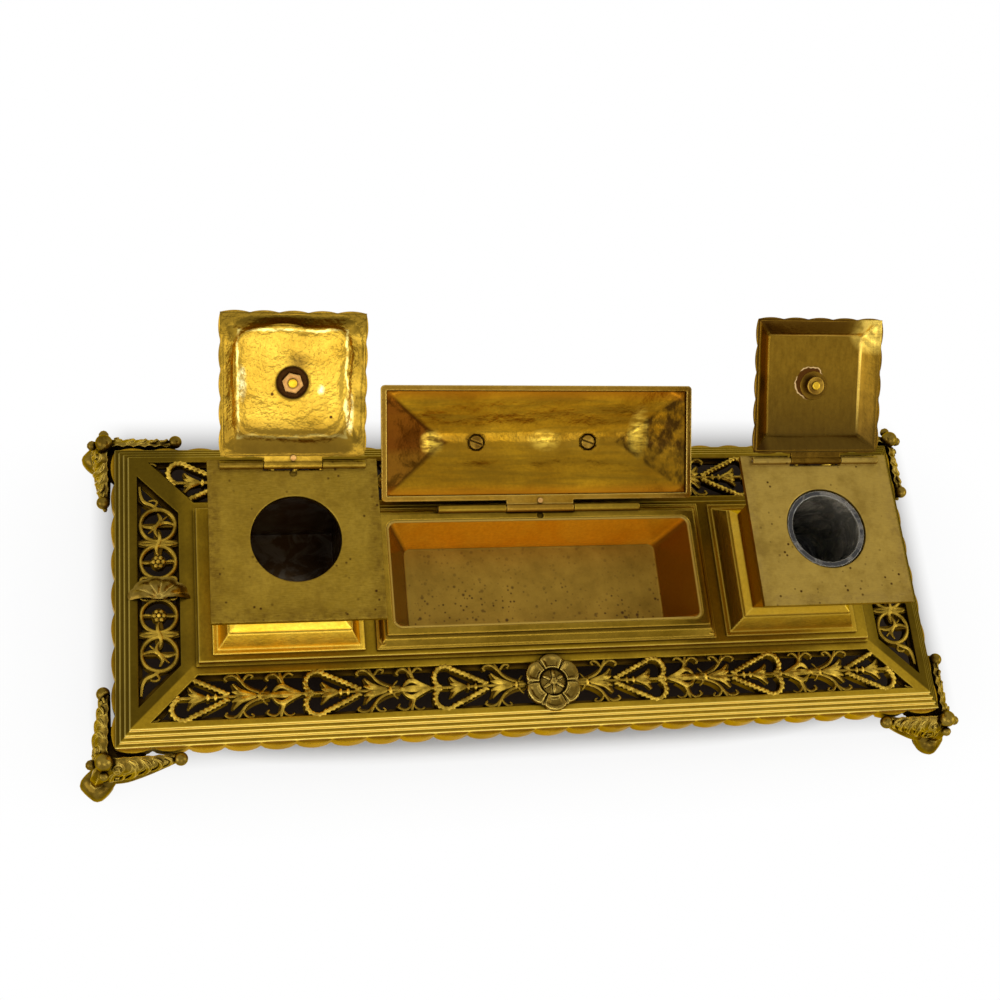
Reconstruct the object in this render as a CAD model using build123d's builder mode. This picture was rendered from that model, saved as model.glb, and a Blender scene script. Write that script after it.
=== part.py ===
from build123d import *
import math
import os

# Desk inkstand: a pierced gilt-brass stand on four cast feet, with a stamp box between
# two square ink wells. Every lid stands open on its stop.
# Frame: X to the right, front at -Y, Z up, z = 0 on the table, x = y = 0 at the centre
# of the deck. Millimetres.

# ---- driving dimensions -------------------------------------------------------------
deck_border_x = 22.7        # plinth to the left and right edges of the flat deck
deck_border_y = 21.1        # plinth to its front and rear edges
deck_height = 36.0          # top of the deck above the table
deck_plate = 2.4

reed_steps = 3              # stepped reeds outside the flat of the deck
reed_width = 1.65
reed_drop = 1.7
reed_round = 0.45
moulding_depth = 7.0        # deck top to the underside of the moulding
moulding_inside = 0.7       # how far the moulding runs in under the deck
corner_block = 2.6          # solid corner inside the moulding, for the foot screws

skirt_height = 6.0
skirt_wall = 2.4
scallop_swell = 1.4         # how far each scallop swells out
front_scallops = 25
side_scallops = 9
scallop_notch = 1.1         # radius of the notch between two scallops

front_border = 2.3          # deck edge to the front and rear windows
side_border = 3.0           # deck edge to the side windows
front_window = 16.1         # width of the front and rear windows
side_window = 14.5
mitre_bar = 6.6             # width of the bar across each corner

fret_thickness = 3.0
fret_sink = 0.8             # top of the fretwork below the deck top
fret_ledge = 1.4            # width of the ledge under the edge of the window
fret_gap = 0.2              # clearance of the fretwork in its window
fret_stroke = 1.4           # width of the thin tendrils
bead_stroke = 2.2           # width of the beaded loops
leaf_stroke = 1.82          # width of the tulip's leaves
stem_collars = (4.2, 19.4, 22.0, 34.2)  # places of the collars along one repeat
stem_collar_width = 1.1
period = 46.2               # length of one repeat of the front pattern
pattern_start = 9.2         # where the first repeat starts, from the middle
side_ring_first = 10.0      # middle of the window to the first ring
side_ring_second = 24.0
side_stroke = 1.7
side_flower = 2.6

rosette_radius = 10.4
rosette_height = 3.0        # deck top to the top of the middle button
rosette_base = 1.0          # disc under the petals
petals = 6
petal_turn = 30.0           # degrees from +X to the first petal
petal_radius = 3.8
petal_rise = 2.2
button_radius = 3.4
boss_length = 22.0          # side boss, across its window
boss_width = 9.0
boss_height = 3.4
boss_end_rise = 2.4         # height of the two smaller domes at its ends
boss_base = 1.4
stud_radius = 1.2
stud_proud = 0.4            # end of a stud beyond its nut
nut_radius = 2.6
nut_height = 1.6

plinth_end = 5.7            # feet of the wells to the ends of the plinth
plinth_side = 2.6           # widest foot to the plinth's front and rear edges
plinth_height = 3.9
plinth_step = 1.3
plinth_inset = 0.8

box_foot_out_x = 3.4        # foot of the stamp box beyond its rim
box_foot_out_y = 4.0
box_foot_height = 1.2
box_foot_inset = 0.9        # step from the foot in to the slope above it
box_waist_out_x = 0.9       # top of that slope beyond the rim
box_waist_out_y = 1.2
box_rim_out_x = 3.0         # rim beyond the opening of the tray
box_rim_out_y = 3.25
box_height = 5.5            # stamp box above the plinth
box_rim = 1.6               # thickness of the flat rim
tray_length = 115.4         # opening of the tray
tray_width = 39.5
tray_slope_x = 8.2          # opening in to the floor, on each side
tray_slope_y = 3.85
tray_depth = 19.4
tray_wall = 0.8
tray_flange = 1.4
tray_corner = 3.5
tray_gap = 0.1              # flange to the wall of the stamp box
opening_gap = 0.9           # around the tray where it passes through plinth and deck

stamp_lid_end = 0.9         # ends of the shut lid in from the ends of the rim
stamp_lid_front = 1.8       # and its free edge in from the front of the rim
stamp_lid_rim = 1.8
stamp_lid_rise = 13.6       # rim to the flat of the ridge, outside
stamp_lid_skin = 1.2
stamp_lid_corner = 1.5
stamp_hip = 19.8            # ends of the lid in to the ends of its ridge
stamp_ridge_width = 7.0
stamp_open_angle = 155.0
stamp_hinge_out = 1.5       # hinge axis behind the rim
stamp_barrel_radius = 1.6
stamp_barrel_middle = 13.2  # half length of the lid's barrel
stamp_barrel_end = 38.8     # half length of the whole hinge
stamp_hinge_reach = 3.0     # hinge axis to the near edge of the lid

handle_screw_x = 22.0
handle_bar_radius = 1.7     # at the ends of the turned bar
handle_bar_swell = 0.6      # how much thicker its middle is, in radius
handle_rise = 6.0           # ridge to the middle of the bar
handle_post_radius = 2.3
handle_post_taper = 8.0     # degrees
handle_screw_radius = 1.2
handle_screw_head = 2.5
handle_screw_head_height = 0.9
handle_slot_turn = 20.0
handle_knob_radius = 1.95   # ball at each end of the bar
handle_screw_bite = 3.0

well_gap = 4.3              # foot of the stamp box to the foot of each well
well_foot_out = 1.7         # foot beyond the slope above it
well_foot_height = 1.2
well_ogee_out = 3.3         # foot of that slope beyond its top
well_ogee_height = 6.6
well_fillet_height = 0.9
well_shoulder_out = 2.9     # top of the slope beyond the neck
well_shoulder_height = 2.0
well_cornice_out = 5.3      # cornice beyond the neck
well_cornice_height = 7.0
well_height = 42.4          # plinth top to the underside of the plate
well_wall = 2.0
well_floor = 3.0
well_room = 1.55            # wall of the well outside the round hole
plate_overhang = 4.5        # plate beyond the cornice
plate_thickness = 2.0
well_hole_radius = 15.15

lid_inset = 3.85            # half of what the lid is smaller than the plate
lid_scallops = 5
lid_scallop_swell = 0.7
lid_edge = 1.0              # thickness of the scalloped edge
lid_flange_width = 4.6
lid_flange_rise = 3.2
lid_wall_height = 1.6
lid_crown_rise = 1.9
lid_crown_flat = 14.0
lid_skin = 1.2
lid_dish_radius = 15.0      # round dish inside the left lid
lid_dish_depth = 0.6
lid_recess_radius = 5.4     # deeper recess round its nut
lid_recess_depth = 0.5
left_open_angle = 145.0
right_open_angle = 151.0
well_hinge_in = 2.3         # hinge axis in from the rear edge of the plate
well_barrel_radius = 1.4
well_barrel_middle = 10.0
well_barrel_in = 4.0        # ends of the hinge in from the sides of the plate
well_hinge_reach = 2.6
hinge_rise_well = 0.6       # hinge axis above the plate
hinge_rise_stamp = 0.5      # hinge axis above the rim of the stamp box
pin_radius = 0.6
pin_clearance = 0.05
barrel_gap = 0.3
closed_gap = 0.1            # lid rim above its seat when the lid is shut
rivet_radius = 1.0
rivet_shank = 0.55
rivet_head = 0.5
rivet_gap = 0.2             # barrel to the edge of the rivet's head

finial_height = 13.0
finial_radius = 4.2
finial_stud_radius = 1.5
left_nut_radius = 3.6
left_nut_turn = 12.0        # degrees that the hexagon is turned
right_nut_radius = 3.2
lid_nut_height = 2.2
collar_radius = 5.2
collar_height = 0.5

liner_clearance = 0.35
liner_wall = 2.2
liner_base = 3.0
liner_sink = 0.4            # rim of the glass below the plate top

toe_out = 11.0              # toe centre out from the corner of the flat deck, both ways
toe_radius = 5.2
toe_height = 6.0
toe_flat = 3.4              # radius of the flat that rests on the table
leg_top_radius = 8.0
leg_top_out = 1.5
leg_knee_radius = 5.2
leg_knee_out = 4.5
leg_knee_height = 15.0
leg_ankle_radius = 5.0
leg_ankle_out = 8.5
leg_ankle_height = 9.5
front_arm = 17.0            # deck corner to the ball at the tip of the arm on the long side
side_arm = 15.0             # and on the short side
arm_tip_thickness = 2.6
arm_tip_depth = 4.8
arm_tip_drop = 1.5          # middle of the tip below the moulding
arm_middle_thickness = 4.0
arm_middle_depth = 11.0
arm_middle_drop = 6.5
arm_root_thickness = 5.8
arm_root_depth = 16.0       # depth of an arm where it meets the leg
arm_root_drop = 12.0
arm_root_out = 3.0          # where the root starts, beyond the deck corner
arm_end_depth = 15.0        # inside the leg
arm_end_drop = 15.0
arm_end_out = 9.0
foot_gap = 0.3
arm_ball = 2.4
corner_ball = 3.2
stalk_foot = 4.0            # radius of the stalk where it leaves the leg
stalk_top = 2.2             # and inside the ball
ball_drop = 0.5             # middle of the balls below the moulding
foot_boss_radius = 2.4
foot_boss_in = 0.3          # boss centre in from the corner of the flat deck
foot_pad = 3.0              # metal above the head of the foot screw
screw_radius = 1.2
screw_head_radius = 2.4
screw_head_height = 1.5
screw_clearance = 0.1
screw_slot = 0.6
screw_bite = 3.4            # how far a foot screw runs into the moulding
floor_bite = 2.2            # how far a screw runs into the piece that it holds
small_screw_radius = 0.9
small_screw_head = 1.8

os.makedirs("parts", exist_ok=True)

# ---- levels, edges and places worked out from the dimensions ---------------------------
# the stamp box grows out from the opening of its tray
tray_floor_length = tray_length - 2 * tray_slope_x
tray_floor_width = tray_width - 2 * tray_slope_y
box_rim_length = tray_length + 2 * box_rim_out_x
box_rim_width = tray_width + 2 * box_rim_out_y
box_waist_length = box_rim_length + 2 * box_waist_out_x
box_waist_width = box_rim_width + 2 * box_waist_out_y
box_foot_length = box_rim_length + 2 * box_foot_out_x
box_foot_width = box_rim_width + 2 * box_foot_out_y
stamp_hinge_y = box_rim_width / 2 + stamp_hinge_out
stamp_lid_length = box_rim_length - 2 * stamp_lid_end
stamp_lid_width = stamp_hinge_y - stamp_hinge_reach + box_rim_width / 2 - stamp_lid_front
stamp_ridge_length = stamp_lid_length - 2 * stamp_hip
# each well grows out from its round hole
well_neck = 2 * (well_hole_radius + well_room + well_wall)
well_ogee_top = well_neck + 2 * well_shoulder_out
well_ogee_foot = well_ogee_top + 2 * well_ogee_out
well_foot = well_ogee_foot + 2 * well_foot_out
well_cornice = well_neck + 2 * well_cornice_out
plate_size = well_cornice + 2 * plate_overhang
lid_size = plate_size - 2 * lid_inset
well_hinge_y = plate_size / 2 - well_hinge_in
well_barrel_end = plate_size / 2 - well_barrel_in
# and the plinth and the deck reach round the box and the wells
well_spacing = box_foot_length / 2 + well_gap + well_foot / 2
plinth_length = 2 * well_spacing + well_foot + 2 * plinth_end
plinth_width = max(box_foot_width, well_foot) + 2 * plinth_side
deck_length = plinth_length + 2 * deck_border_x
deck_width = plinth_width + 2 * deck_border_y

deck_under = deck_height - deck_plate
moulding_under = deck_height - moulding_depth
moulding_reach = reed_steps * reed_width
skirt_under = moulding_under - skirt_height
half_length = deck_length / 2
half_width = deck_width / 2
plinth_top = deck_height + plinth_height
box_top = plinth_top + box_height
plate_under = plinth_top + well_height
plate_top = plate_under + plate_thickness
fret_top = deck_height - fret_sink
fret_under = fret_top - fret_thickness
stamp_hinge_z = box_top + hinge_rise_stamp
well_hinge_z = plate_top + hinge_rise_well
rivet_reach = stamp_barrel_radius + rivet_radius + rivet_gap

front_window_outer = half_width - front_border
front_window_inner = front_window_outer - front_window
front_window_middle = (front_window_outer + front_window_inner) / 2
side_window_outer = half_length - side_border
side_window_inner = side_window_outer - side_window
side_window_middle = (side_window_outer + side_window_inner) / 2
mitre_shift = half_length - half_width
mitre_half = mitre_bar / math.sqrt(2)
window_end = front_window_outer + mitre_shift - mitre_half
repeats = math.ceil((window_end - pattern_start) / period)

foot_boss_x = half_length - foot_boss_in
foot_boss_y = half_width - foot_boss_in
tray_outer_length = tray_length + 2 * tray_wall
tray_outer_width = tray_width + 2 * tray_wall
flange_length = tray_outer_length + 2 * tray_flange
flange_width = tray_outer_width + 2 * tray_flange
tray_hole_length = tray_outer_length + 2 * opening_gap
tray_hole_width = tray_outer_width + 2 * opening_gap
box_screw_x = (box_foot_length + flange_length) / 4
box_screw_y = (box_foot_width + flange_width) / 4
box_screw_spots = [(sx * box_screw_x, sy * box_screw_y) for sx in (-1, 1) for sy in (-1, 1)]
well_screw_offset = well_neck / 2 - well_wall - 2 * screw_head_radius
well_screw_spots = [
    (side * well_spacing + step, 0)
    for side in (-1, 1)
    for step in (-well_screw_offset, well_screw_offset)
]


def front_window_corners(side, grow=0.0):
    """Corners of the front (side -1) or rear (side 1) window, grown all round."""
    spread = mitre_shift - mitre_half + grow * math.sqrt(2)
    outer = front_window_outer + grow
    inner = front_window_inner - grow
    return [
        (-outer - spread, side * outer),
        (outer + spread, side * outer),
        (inner + spread, side * inner),
        (-inner - spread, side * inner),
    ]


def side_window_corners(side, grow=0.0):
    """Corners of the left (side -1) or right (side 1) window, grown all round."""
    spread = mitre_shift + mitre_half - grow * math.sqrt(2)
    outer = side_window_outer + grow
    inner = side_window_inner - grow
    return [
        (side * outer, spread - outer),
        (side * outer, outer - spread),
        (side * inner, inner - spread),
        (side * inner, spread - inner),
    ]


def scalloped_outline(length, width, along, across, swell, shift=0.0):
    """Arcs round a rectangle, with along and across scallops on its sides. The rectangle's
    middle is moved by shift along Y."""
    for turn, run, count, span in (
        (0, length, along, width),
        (90, width, across, length),
        (180, length, along, width),
        (270, width, across, length),
    ):
        cos_turn = round(math.cos(math.radians(turn)))
        sin_turn = round(math.sin(math.radians(turn)))
        for index in range(count):
            steps = [-run / 2 + (index + share) * run / count for share in (0, 0.5, 1)]
            reaches = [-span / 2, -span / 2 - swell, -span / 2]
            points = [
                (step * cos_turn - reach * sin_turn, shift + step * sin_turn + reach * cos_turn)
                for step, reach in zip(steps, reaches)
            ]
            ThreePointArc(*points)


def dome(radius, rise, x, y):
    """Shallow round cap that rises from the deck top, as part of a ball."""
    ball_radius = (radius**2 + rise**2) / (2 * rise)
    with Locations((x, y, deck_height + rise - ball_radius)):
        Sphere(ball_radius)


def corner_spot(side_x, side_y, out_x, out_y):
    """Point out from a corner of the flat deck, away from the middle on X and on Y."""
    return (side_x * (half_length + out_x), side_y * (half_width + out_y))


def lid_plane(x, y, z, open_angle):
    """Plane of a lid that stands open on its hinge. Its local Z is the lid's outside, and
    its local -Y runs from the hinge to the free edge."""
    lean = math.radians(open_angle)
    return Plane(origin=(x, y, z), x_dir=(1, 0, 0), z_dir=(0, math.sin(lean), math.cos(lean)))


def turning_plane(lid, reach):
    """Plane for the profile of a turned piece on a lid, through the point at the given
    reach from the hinge. Its local Y is the lid's outside."""
    return Plane(
        origin=lid.from_local_coords((0, -reach, 0)),
        x_dir=lid.x_dir,
        z_dir=lid.x_dir.cross(lid.z_dir),
    )


def across_plane(x, y, z):
    """Plane that faces along X, for barrels and pins."""
    return Plane(origin=(x, y, z), x_dir=(0, 1, 0), z_dir=(1, 0, 0))


def save(part, node):
    """Label a finished piece and write it under its node name."""
    part.label = node
    export_step(part, "parts/" + node + ".step")


# ---- base frame: flat deck, four windows and the reeded moulding ------------------------
with BuildPart() as base_frame:
    for step in range(reed_steps + 1):
        with BuildSketch(Plane.XY.offset(moulding_under)):
            Rectangle(deck_length + 2 * step * reed_width, deck_width + 2 * step * reed_width)
        extrude(amount=moulding_depth - step * reed_drop)
    upper_edges = []
    for step in range(reed_steps + 1):
        level = deck_height - step * reed_drop
        level_edges = base_frame.edges().filter_by_position(Axis.Z, level - 0.01, level + 0.01)
        upper_edges += [
            edge
            for edge in level_edges
            if abs(abs(edge.center().X) - half_length - step * reed_width) < 0.01
            or abs(abs(edge.center().Y) - half_width - step * reed_width) < 0.01
        ]
    fillet(upper_edges, radius=reed_round)
    with BuildSketch(Plane.XY.offset(moulding_under)):
        Rectangle(deck_length - 2 * moulding_inside, deck_width - 2 * moulding_inside)
        with GridLocations(
            deck_length - 2 * moulding_inside, deck_width - 2 * moulding_inside, 2, 2
        ):
            Rectangle(2 * corner_block, 2 * corner_block, mode=Mode.SUBTRACT)
    extrude(amount=deck_under - moulding_under, mode=Mode.SUBTRACT)
    with BuildSketch(Plane.XY.offset(deck_under)):
        for side in (-1, 1):
            Polygon(*front_window_corners(side), align=None)
            Polygon(*side_window_corners(side), align=None)
        Rectangle(tray_hole_length, tray_hole_width)
        with Locations(*well_screw_spots):
            Circle(screw_radius + screw_clearance)
        with Locations(*box_screw_spots):
            Circle(small_screw_radius + screw_clearance)
    extrude(amount=deck_plate, mode=Mode.SUBTRACT)
    with BuildSketch(Plane.XY.offset(moulding_under)):
        with GridLocations(2 * foot_boss_x, 2 * foot_boss_y, 2, 2):
            Circle(screw_radius + screw_clearance)
    extrude(amount=screw_bite + screw_clearance, mode=Mode.SUBTRACT)
save(base_frame.part, "base_frame")

# ---- scalloped skirt under the moulding --------------------------------------------------
skirt_length = deck_length + 2 * moulding_reach
skirt_width = deck_width + 2 * moulding_reach
with BuildPart() as skirt:
    with BuildSketch(Plane.XY.offset(skirt_under)):
        with BuildLine():
            scalloped_outline(
                skirt_length, skirt_width, front_scallops, side_scallops, scallop_swell
            )
        make_face()
        Rectangle(
            skirt_length - 2 * skirt_wall, skirt_width - 2 * skirt_wall, mode=Mode.SUBTRACT
        )
    extrude(amount=skirt_height)
    for plane, run, count in (
        (Plane.XZ, skirt_length, front_scallops),
        (Plane.YZ, skirt_width, side_scallops),
    ):
        with BuildSketch(plane):
            with Locations(
                *[(-run / 2 + index * run / count, skirt_under) for index in range(1, count)]
            ):
                Circle(scallop_notch)
        extrude(amount=deck_length, both=True, mode=Mode.SUBTRACT)
save(skirt.part, "skirt")

# ---- raised plinth ------------------------------------------------------------------------
with BuildPart() as plinth:
    with BuildSketch(Plane.XY.offset(deck_height)):
        Rectangle(plinth_length, plinth_width)
    extrude(amount=plinth_step)
    with BuildSketch(Plane.XY.offset(deck_height)):
        Rectangle(plinth_length - 2 * plinth_inset, plinth_width - 2 * plinth_inset)
    extrude(amount=plinth_height)
    fillet(plinth.faces().sort_by(Axis.Z)[-1].edges(), radius=reed_round)
    with BuildSketch(Plane.XY.offset(deck_height)):
        Rectangle(tray_hole_length, tray_hole_width)
        with Locations(*well_screw_spots):
            Circle(screw_radius + screw_clearance)
        with Locations(*box_screw_spots):
            Circle(small_screw_radius + screw_clearance)
    extrude(amount=plinth_height, mode=Mode.SUBTRACT)
save(plinth.part, "plinth")

# ---- front and rear fretwork ----------------------------------------------------------------
# The upper half of one repeat is drawn and mirrored: x runs away from the middle of the
# window and y from the centre line to its edge.
half_band = front_window / 2
with BuildSketch() as fret_repeat:
    with Locations((period / 2, 0)):
        Rectangle(period, fret_stroke)
    # trumpet with two pointed tips
    Polygon((5.5, 0), (5.5, 0.7), (10.5, 1.5), (13.6, 4.4), (14.2, 4.2), (13.4, 1.8), (13.8, 0), align=None)
    # smaller trumpet inside the beaded loop
    Polygon((23, 0), (23, 0.7), (26.4, 1.4), (28.6, 3.7), (29.2, 3.4), (28.4, 1.4), (28.6, 0), align=None)
    # tulip at the end of the repeat
    Polygon((36, 0), (36, 0.7), (40.5, 1.5), (42.6, 2.7), (44.6, 2.3), (45.8, 0.9), (period, 0), align=None)
    # collars on the stem
    for collar in stem_collars:
        with Locations((collar, 0)):
            Rectangle(stem_collar_width, 2 * fret_stroke)
    # tendril that runs from the stem out to the edge and curls over
    with BuildLine():
        ThreePointArc((0.6, 0.9), (5.6, 1.9), (9.6, 4.4))
        ThreePointArc((9.6, 4.4), (11.2, 6.3), (12.2, half_band + fret_ledge))
    trace(line_width=fret_stroke)
    with BuildLine():
        ThreePointArc((11.2, 6.6), (13.8, 7.3), (16.4, 6.2))
    trace(line_width=fret_stroke)
    # leaf of the tulip, forked at the edge
    with BuildLine():
        ThreePointArc((38.6, 1.2), (42.0, 3.4), (43.4, half_band + fret_ledge))
    trace(line_width=leaf_stroke)
    with BuildLine():
        ThreePointArc((43.0, 6.2), (46.0, 7.4), (48.2, 5.8))
    trace(line_width=fret_stroke)
    # beaded loop
    with BuildLine():
        ThreePointArc((15.6, 1.0), (21.6, 4.0), (27.2, 6.6))
        ThreePointArc((27.2, 6.6), (33.6, 6.1), (32.9, 0.6))
    trace(line_width=bead_stroke)
    mirror(about=Plane.XZ)

with BuildSketch() as fret_half:
    with Locations(*[(pattern_start + index * period, 0) for index in range(repeats)]):
        add(fret_repeat.sketch)

with BuildPart() as front_fretwork:
    with BuildSketch(Plane.XY.offset(fret_under)):
        with Locations(
            (0, -front_window_middle), Location((0, -front_window_middle, 0), (0, 0, 180))
        ):
            add(fret_half.sketch)
        with Locations((0, -front_window_middle)):
            Circle(rosette_radius / 2)
            Rectangle(2 * pattern_start + fret_stroke, fret_stroke)
        Polygon(*front_window_corners(-1, -fret_gap), align=None, mode=Mode.INTERSECT)
    extrude(amount=fret_thickness)
    with BuildSketch(Plane.XY.offset(fret_under)):
        Polygon(*front_window_corners(-1, fret_ledge), align=None)
        Polygon(*front_window_corners(-1, -fret_ledge), align=None, mode=Mode.SUBTRACT)
    extrude(amount=deck_under - fret_under)
    with BuildSketch(Plane.XY.offset(fret_under)):
        with Locations((0, -front_window_middle)):
            Circle(stud_radius + screw_clearance)
    extrude(amount=fret_thickness, mode=Mode.SUBTRACT)
save(front_fretwork.part, "front_fretwork")

with BuildPart() as rear_fretwork:
    mirror(front_fretwork.part, about=Plane.XZ)
save(rear_fretwork.part, "rear_fretwork")

# ---- right and left fretwork: rings, crossed leaves and an end scroll ------------------------
# Drawn with x across the window, outwards, and y from the middle of its length to one end.
half_strip = side_window / 2
ring_outer = half_strip - fret_gap
cross_place = (side_ring_first + side_ring_second) / 2
scroll_start = side_ring_second + ring_outer - side_stroke / 2
with BuildSketch() as side_half:
    for ring_place in (side_ring_first, side_ring_second):
        with Locations((0, ring_place)):
            Circle(ring_outer)
            Circle(ring_outer - side_stroke, mode=Mode.SUBTRACT)
    with Locations((0, cross_place)):
        Ellipse(half_strip + fret_ledge, side_stroke)
        Ellipse(side_stroke, half_strip - side_stroke)
    with Locations((0, side_ring_first)):
        Circle(side_flower)
    with Locations((0, side_ring_first), (0, side_ring_second)):
        Rectangle(side_window + fret_ledge, fret_stroke)
    with Locations((0, (side_ring_first - half_strip) / 2)):
        Rectangle(2 * side_stroke, side_ring_first - half_strip + side_stroke)
    with BuildLine():
        ThreePointArc(
            (0, scroll_start),
            (half_strip / 2, scroll_start + side_stroke),
            (half_strip + fret_ledge, scroll_start + half_strip),
        )
    trace(line_width=side_stroke)
    mirror(about=Plane.XZ)

with BuildPart() as right_fretwork:
    with BuildSketch(Plane.XY.offset(fret_under)):
        with Locations((side_window_middle, 0)):
            add(side_half.sketch)
            Rectangle(side_window, boss_width / 2)
        Polygon(*side_window_corners(1, -fret_gap), align=None, mode=Mode.INTERSECT)
    extrude(amount=fret_thickness)
    with BuildSketch(Plane.XY.offset(fret_under)):
        Polygon(*side_window_corners(1, fret_ledge), align=None)
        Polygon(*side_window_corners(1, -fret_ledge), align=None, mode=Mode.SUBTRACT)
    extrude(amount=deck_under - fret_under)
    with BuildSketch(Plane.XY.offset(fret_under)):
        with Locations((side_window_middle, 0)):
            Circle(stud_radius + screw_clearance)
    extrude(amount=fret_thickness, mode=Mode.SUBTRACT)
save(right_fretwork.part, "right_fretwork")

with BuildPart() as left_fretwork:
    mirror(right_fretwork.part, about=Plane.YZ)
save(left_fretwork.part, "left_fretwork")

# ---- applied ornaments over the middle of each window, and their nuts -------------------------
stud_end = fret_under - nut_height - stud_proud
for side, node in ((-1, "front_rosette"), (1, "rear_rosette")):
    middle_y = side * front_window_middle
    with BuildPart() as rosette:
        for petal in range(petals):
            turn = math.radians(petal_turn + petal * 360 / petals)
            reach = rosette_radius - petal_radius
            dome(petal_radius, petal_rise, reach * math.cos(turn), middle_y + reach * math.sin(turn))
        dome(button_radius, rosette_height, 0, middle_y)
        split(bisect_by=Plane.XY.offset(deck_height), keep=Keep.TOP)
        with BuildSketch(Plane.XY.offset(deck_height)):
            with Locations((0, middle_y)):
                Circle(rosette_radius - petal_radius)
        extrude(amount=rosette_base)
        with BuildSketch(Plane.XY.offset(stud_end)):
            with Locations((0, middle_y)):
                Circle(stud_radius)
        extrude(amount=deck_height - stud_end)
    save(rosette.part, node)

for side, node in ((-1, "left_boss"), (1, "right_boss")):
    middle_x = side * side_window_middle
    with BuildPart() as boss:
        dome(boss_width / 2, boss_height, middle_x, 0)
        for end in (-1, 1):
            dome(boss_width / 3, boss_end_rise, middle_x + end * boss_length / 4, 0)
        split(bisect_by=Plane.XY.offset(deck_height), keep=Keep.TOP)
        with BuildSketch(Plane.XY.offset(deck_height)):
            with Locations((middle_x, 0)):
                Ellipse(boss_length / 2, boss_width / 3)
        extrude(amount=boss_base)
        with BuildSketch(Plane.XY.offset(stud_end)):
            with Locations((middle_x, 0)):
                Circle(stud_radius)
        extrude(amount=deck_height - stud_end)
    save(boss.part, node)

ornament_spots = [
    (0, -front_window_middle),
    (0, front_window_middle),
    (-side_window_middle, 0),
    (side_window_middle, 0),
]
with BuildPart() as ornament_nuts:
    with BuildSketch(Plane.XY.offset(fret_under - nut_height)):
        with Locations(*ornament_spots):
            RegularPolygon(nut_radius, 6)
            Circle(stud_radius + pin_clearance, mode=Mode.SUBTRACT)
    extrude(amount=nut_height)
save(ornament_nuts.part, "ornament_nuts")

# ---- four cast feet and their screws ------------------------------------------------------------
pad_top = skirt_under - foot_gap
head_seat = pad_top - foot_pad
arm_out = moulding_reach + scallop_swell + foot_gap
ball_height = moulding_under - ball_drop
corner_ball_out = moulding_reach + scallop_swell + (corner_ball + foot_gap) / math.sqrt(2)
# leg sections from the pad under the skirt down to the toe: height, out, radius
leg_sections = (
    (pad_top, leg_top_out, leg_top_radius),
    (leg_knee_height, leg_knee_out, leg_knee_radius),
    (leg_ankle_height, leg_ankle_out, leg_ankle_radius),
    (toe_height, toe_out, toe_radius),
    (0, toe_out, toe_flat),
)
for side_x, side_y, node in (
    (-1, -1, "foot_front_left"),
    (1, -1, "foot_front_right"),
    (-1, 1, "foot_rear_left"),
    (1, 1, "foot_rear_right"),
):
    boss_spot = corner_spot(side_x, side_y, -foot_boss_in, -foot_boss_in)
    ball_spot = corner_spot(side_x, side_y, corner_ball_out, corner_ball_out)
    with BuildPart() as foot:
        for height, out, radius in leg_sections:
            with BuildSketch(Plane.XY.offset(height)):
                with Locations(corner_spot(side_x, side_y, out, out)):
                    Circle(radius)
        loft()
        # one arm along the long side of the stand and one along the short side
        for along_x, reach in ((True, front_arm), (False, side_arm)):
            for along, thickness, depth, drop in (
                (-reach, arm_tip_thickness, arm_tip_depth, arm_tip_drop),
                (-reach / 2, arm_middle_thickness, arm_middle_depth, arm_middle_drop),
                (arm_root_out, arm_root_thickness, arm_root_depth, arm_root_drop),
                (arm_end_out, arm_root_thickness, arm_end_depth, arm_end_drop),
            ):
                out = arm_out + thickness / 2
                middle = moulding_under - drop
                if along_x:
                    spot = corner_spot(side_x, side_y, along, out)
                    section = Plane(origin=(*spot, middle), x_dir=(0, 1, 0), z_dir=(1, 0, 0))
                else:
                    spot = corner_spot(side_x, side_y, out, along)
                    section = Plane(origin=(*spot, middle), x_dir=(1, 0, 0), z_dir=(0, -1, 0))
                with BuildSketch(section):
                    Ellipse(thickness / 2, depth / 2)
            loft()
        # balls at the tips of the arms, and one over the corner on its stalk
        with Locations(
            (*corner_spot(side_x, side_y, -front_arm, arm_out + arm_ball), ball_height),
            (*corner_spot(side_x, side_y, arm_out + arm_ball, -side_arm), ball_height),
        ):
            Sphere(arm_ball)
        with Locations((*ball_spot, ball_height)):
            Sphere(corner_ball)
        with BuildSketch(Plane.XY.offset(leg_knee_height)):
            with Locations(corner_spot(side_x, side_y, leg_ankle_out, leg_ankle_out)):
                Circle(stalk_foot)
        with BuildSketch(Plane.XY.offset(ball_height)):
            with Locations(ball_spot):
                Circle(stalk_top)
        loft()
        # boss that meets the moulding, with the screw's hole and the room for its head
        with BuildSketch(Plane.XY.offset(head_seat)):
            with Locations(boss_spot):
                Circle(foot_boss_radius)
        extrude(amount=moulding_under - head_seat)
        with BuildSketch(Plane.XY.offset(head_seat)):
            with Locations(boss_spot):
                Circle(screw_radius + screw_clearance)
        extrude(amount=moulding_under - head_seat, mode=Mode.SUBTRACT)
        with BuildSketch(Plane.XY):
            with Locations(boss_spot):
                Circle(screw_head_radius + screw_clearance)
        extrude(amount=head_seat, mode=Mode.SUBTRACT)
    save(foot.part, node)


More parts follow.
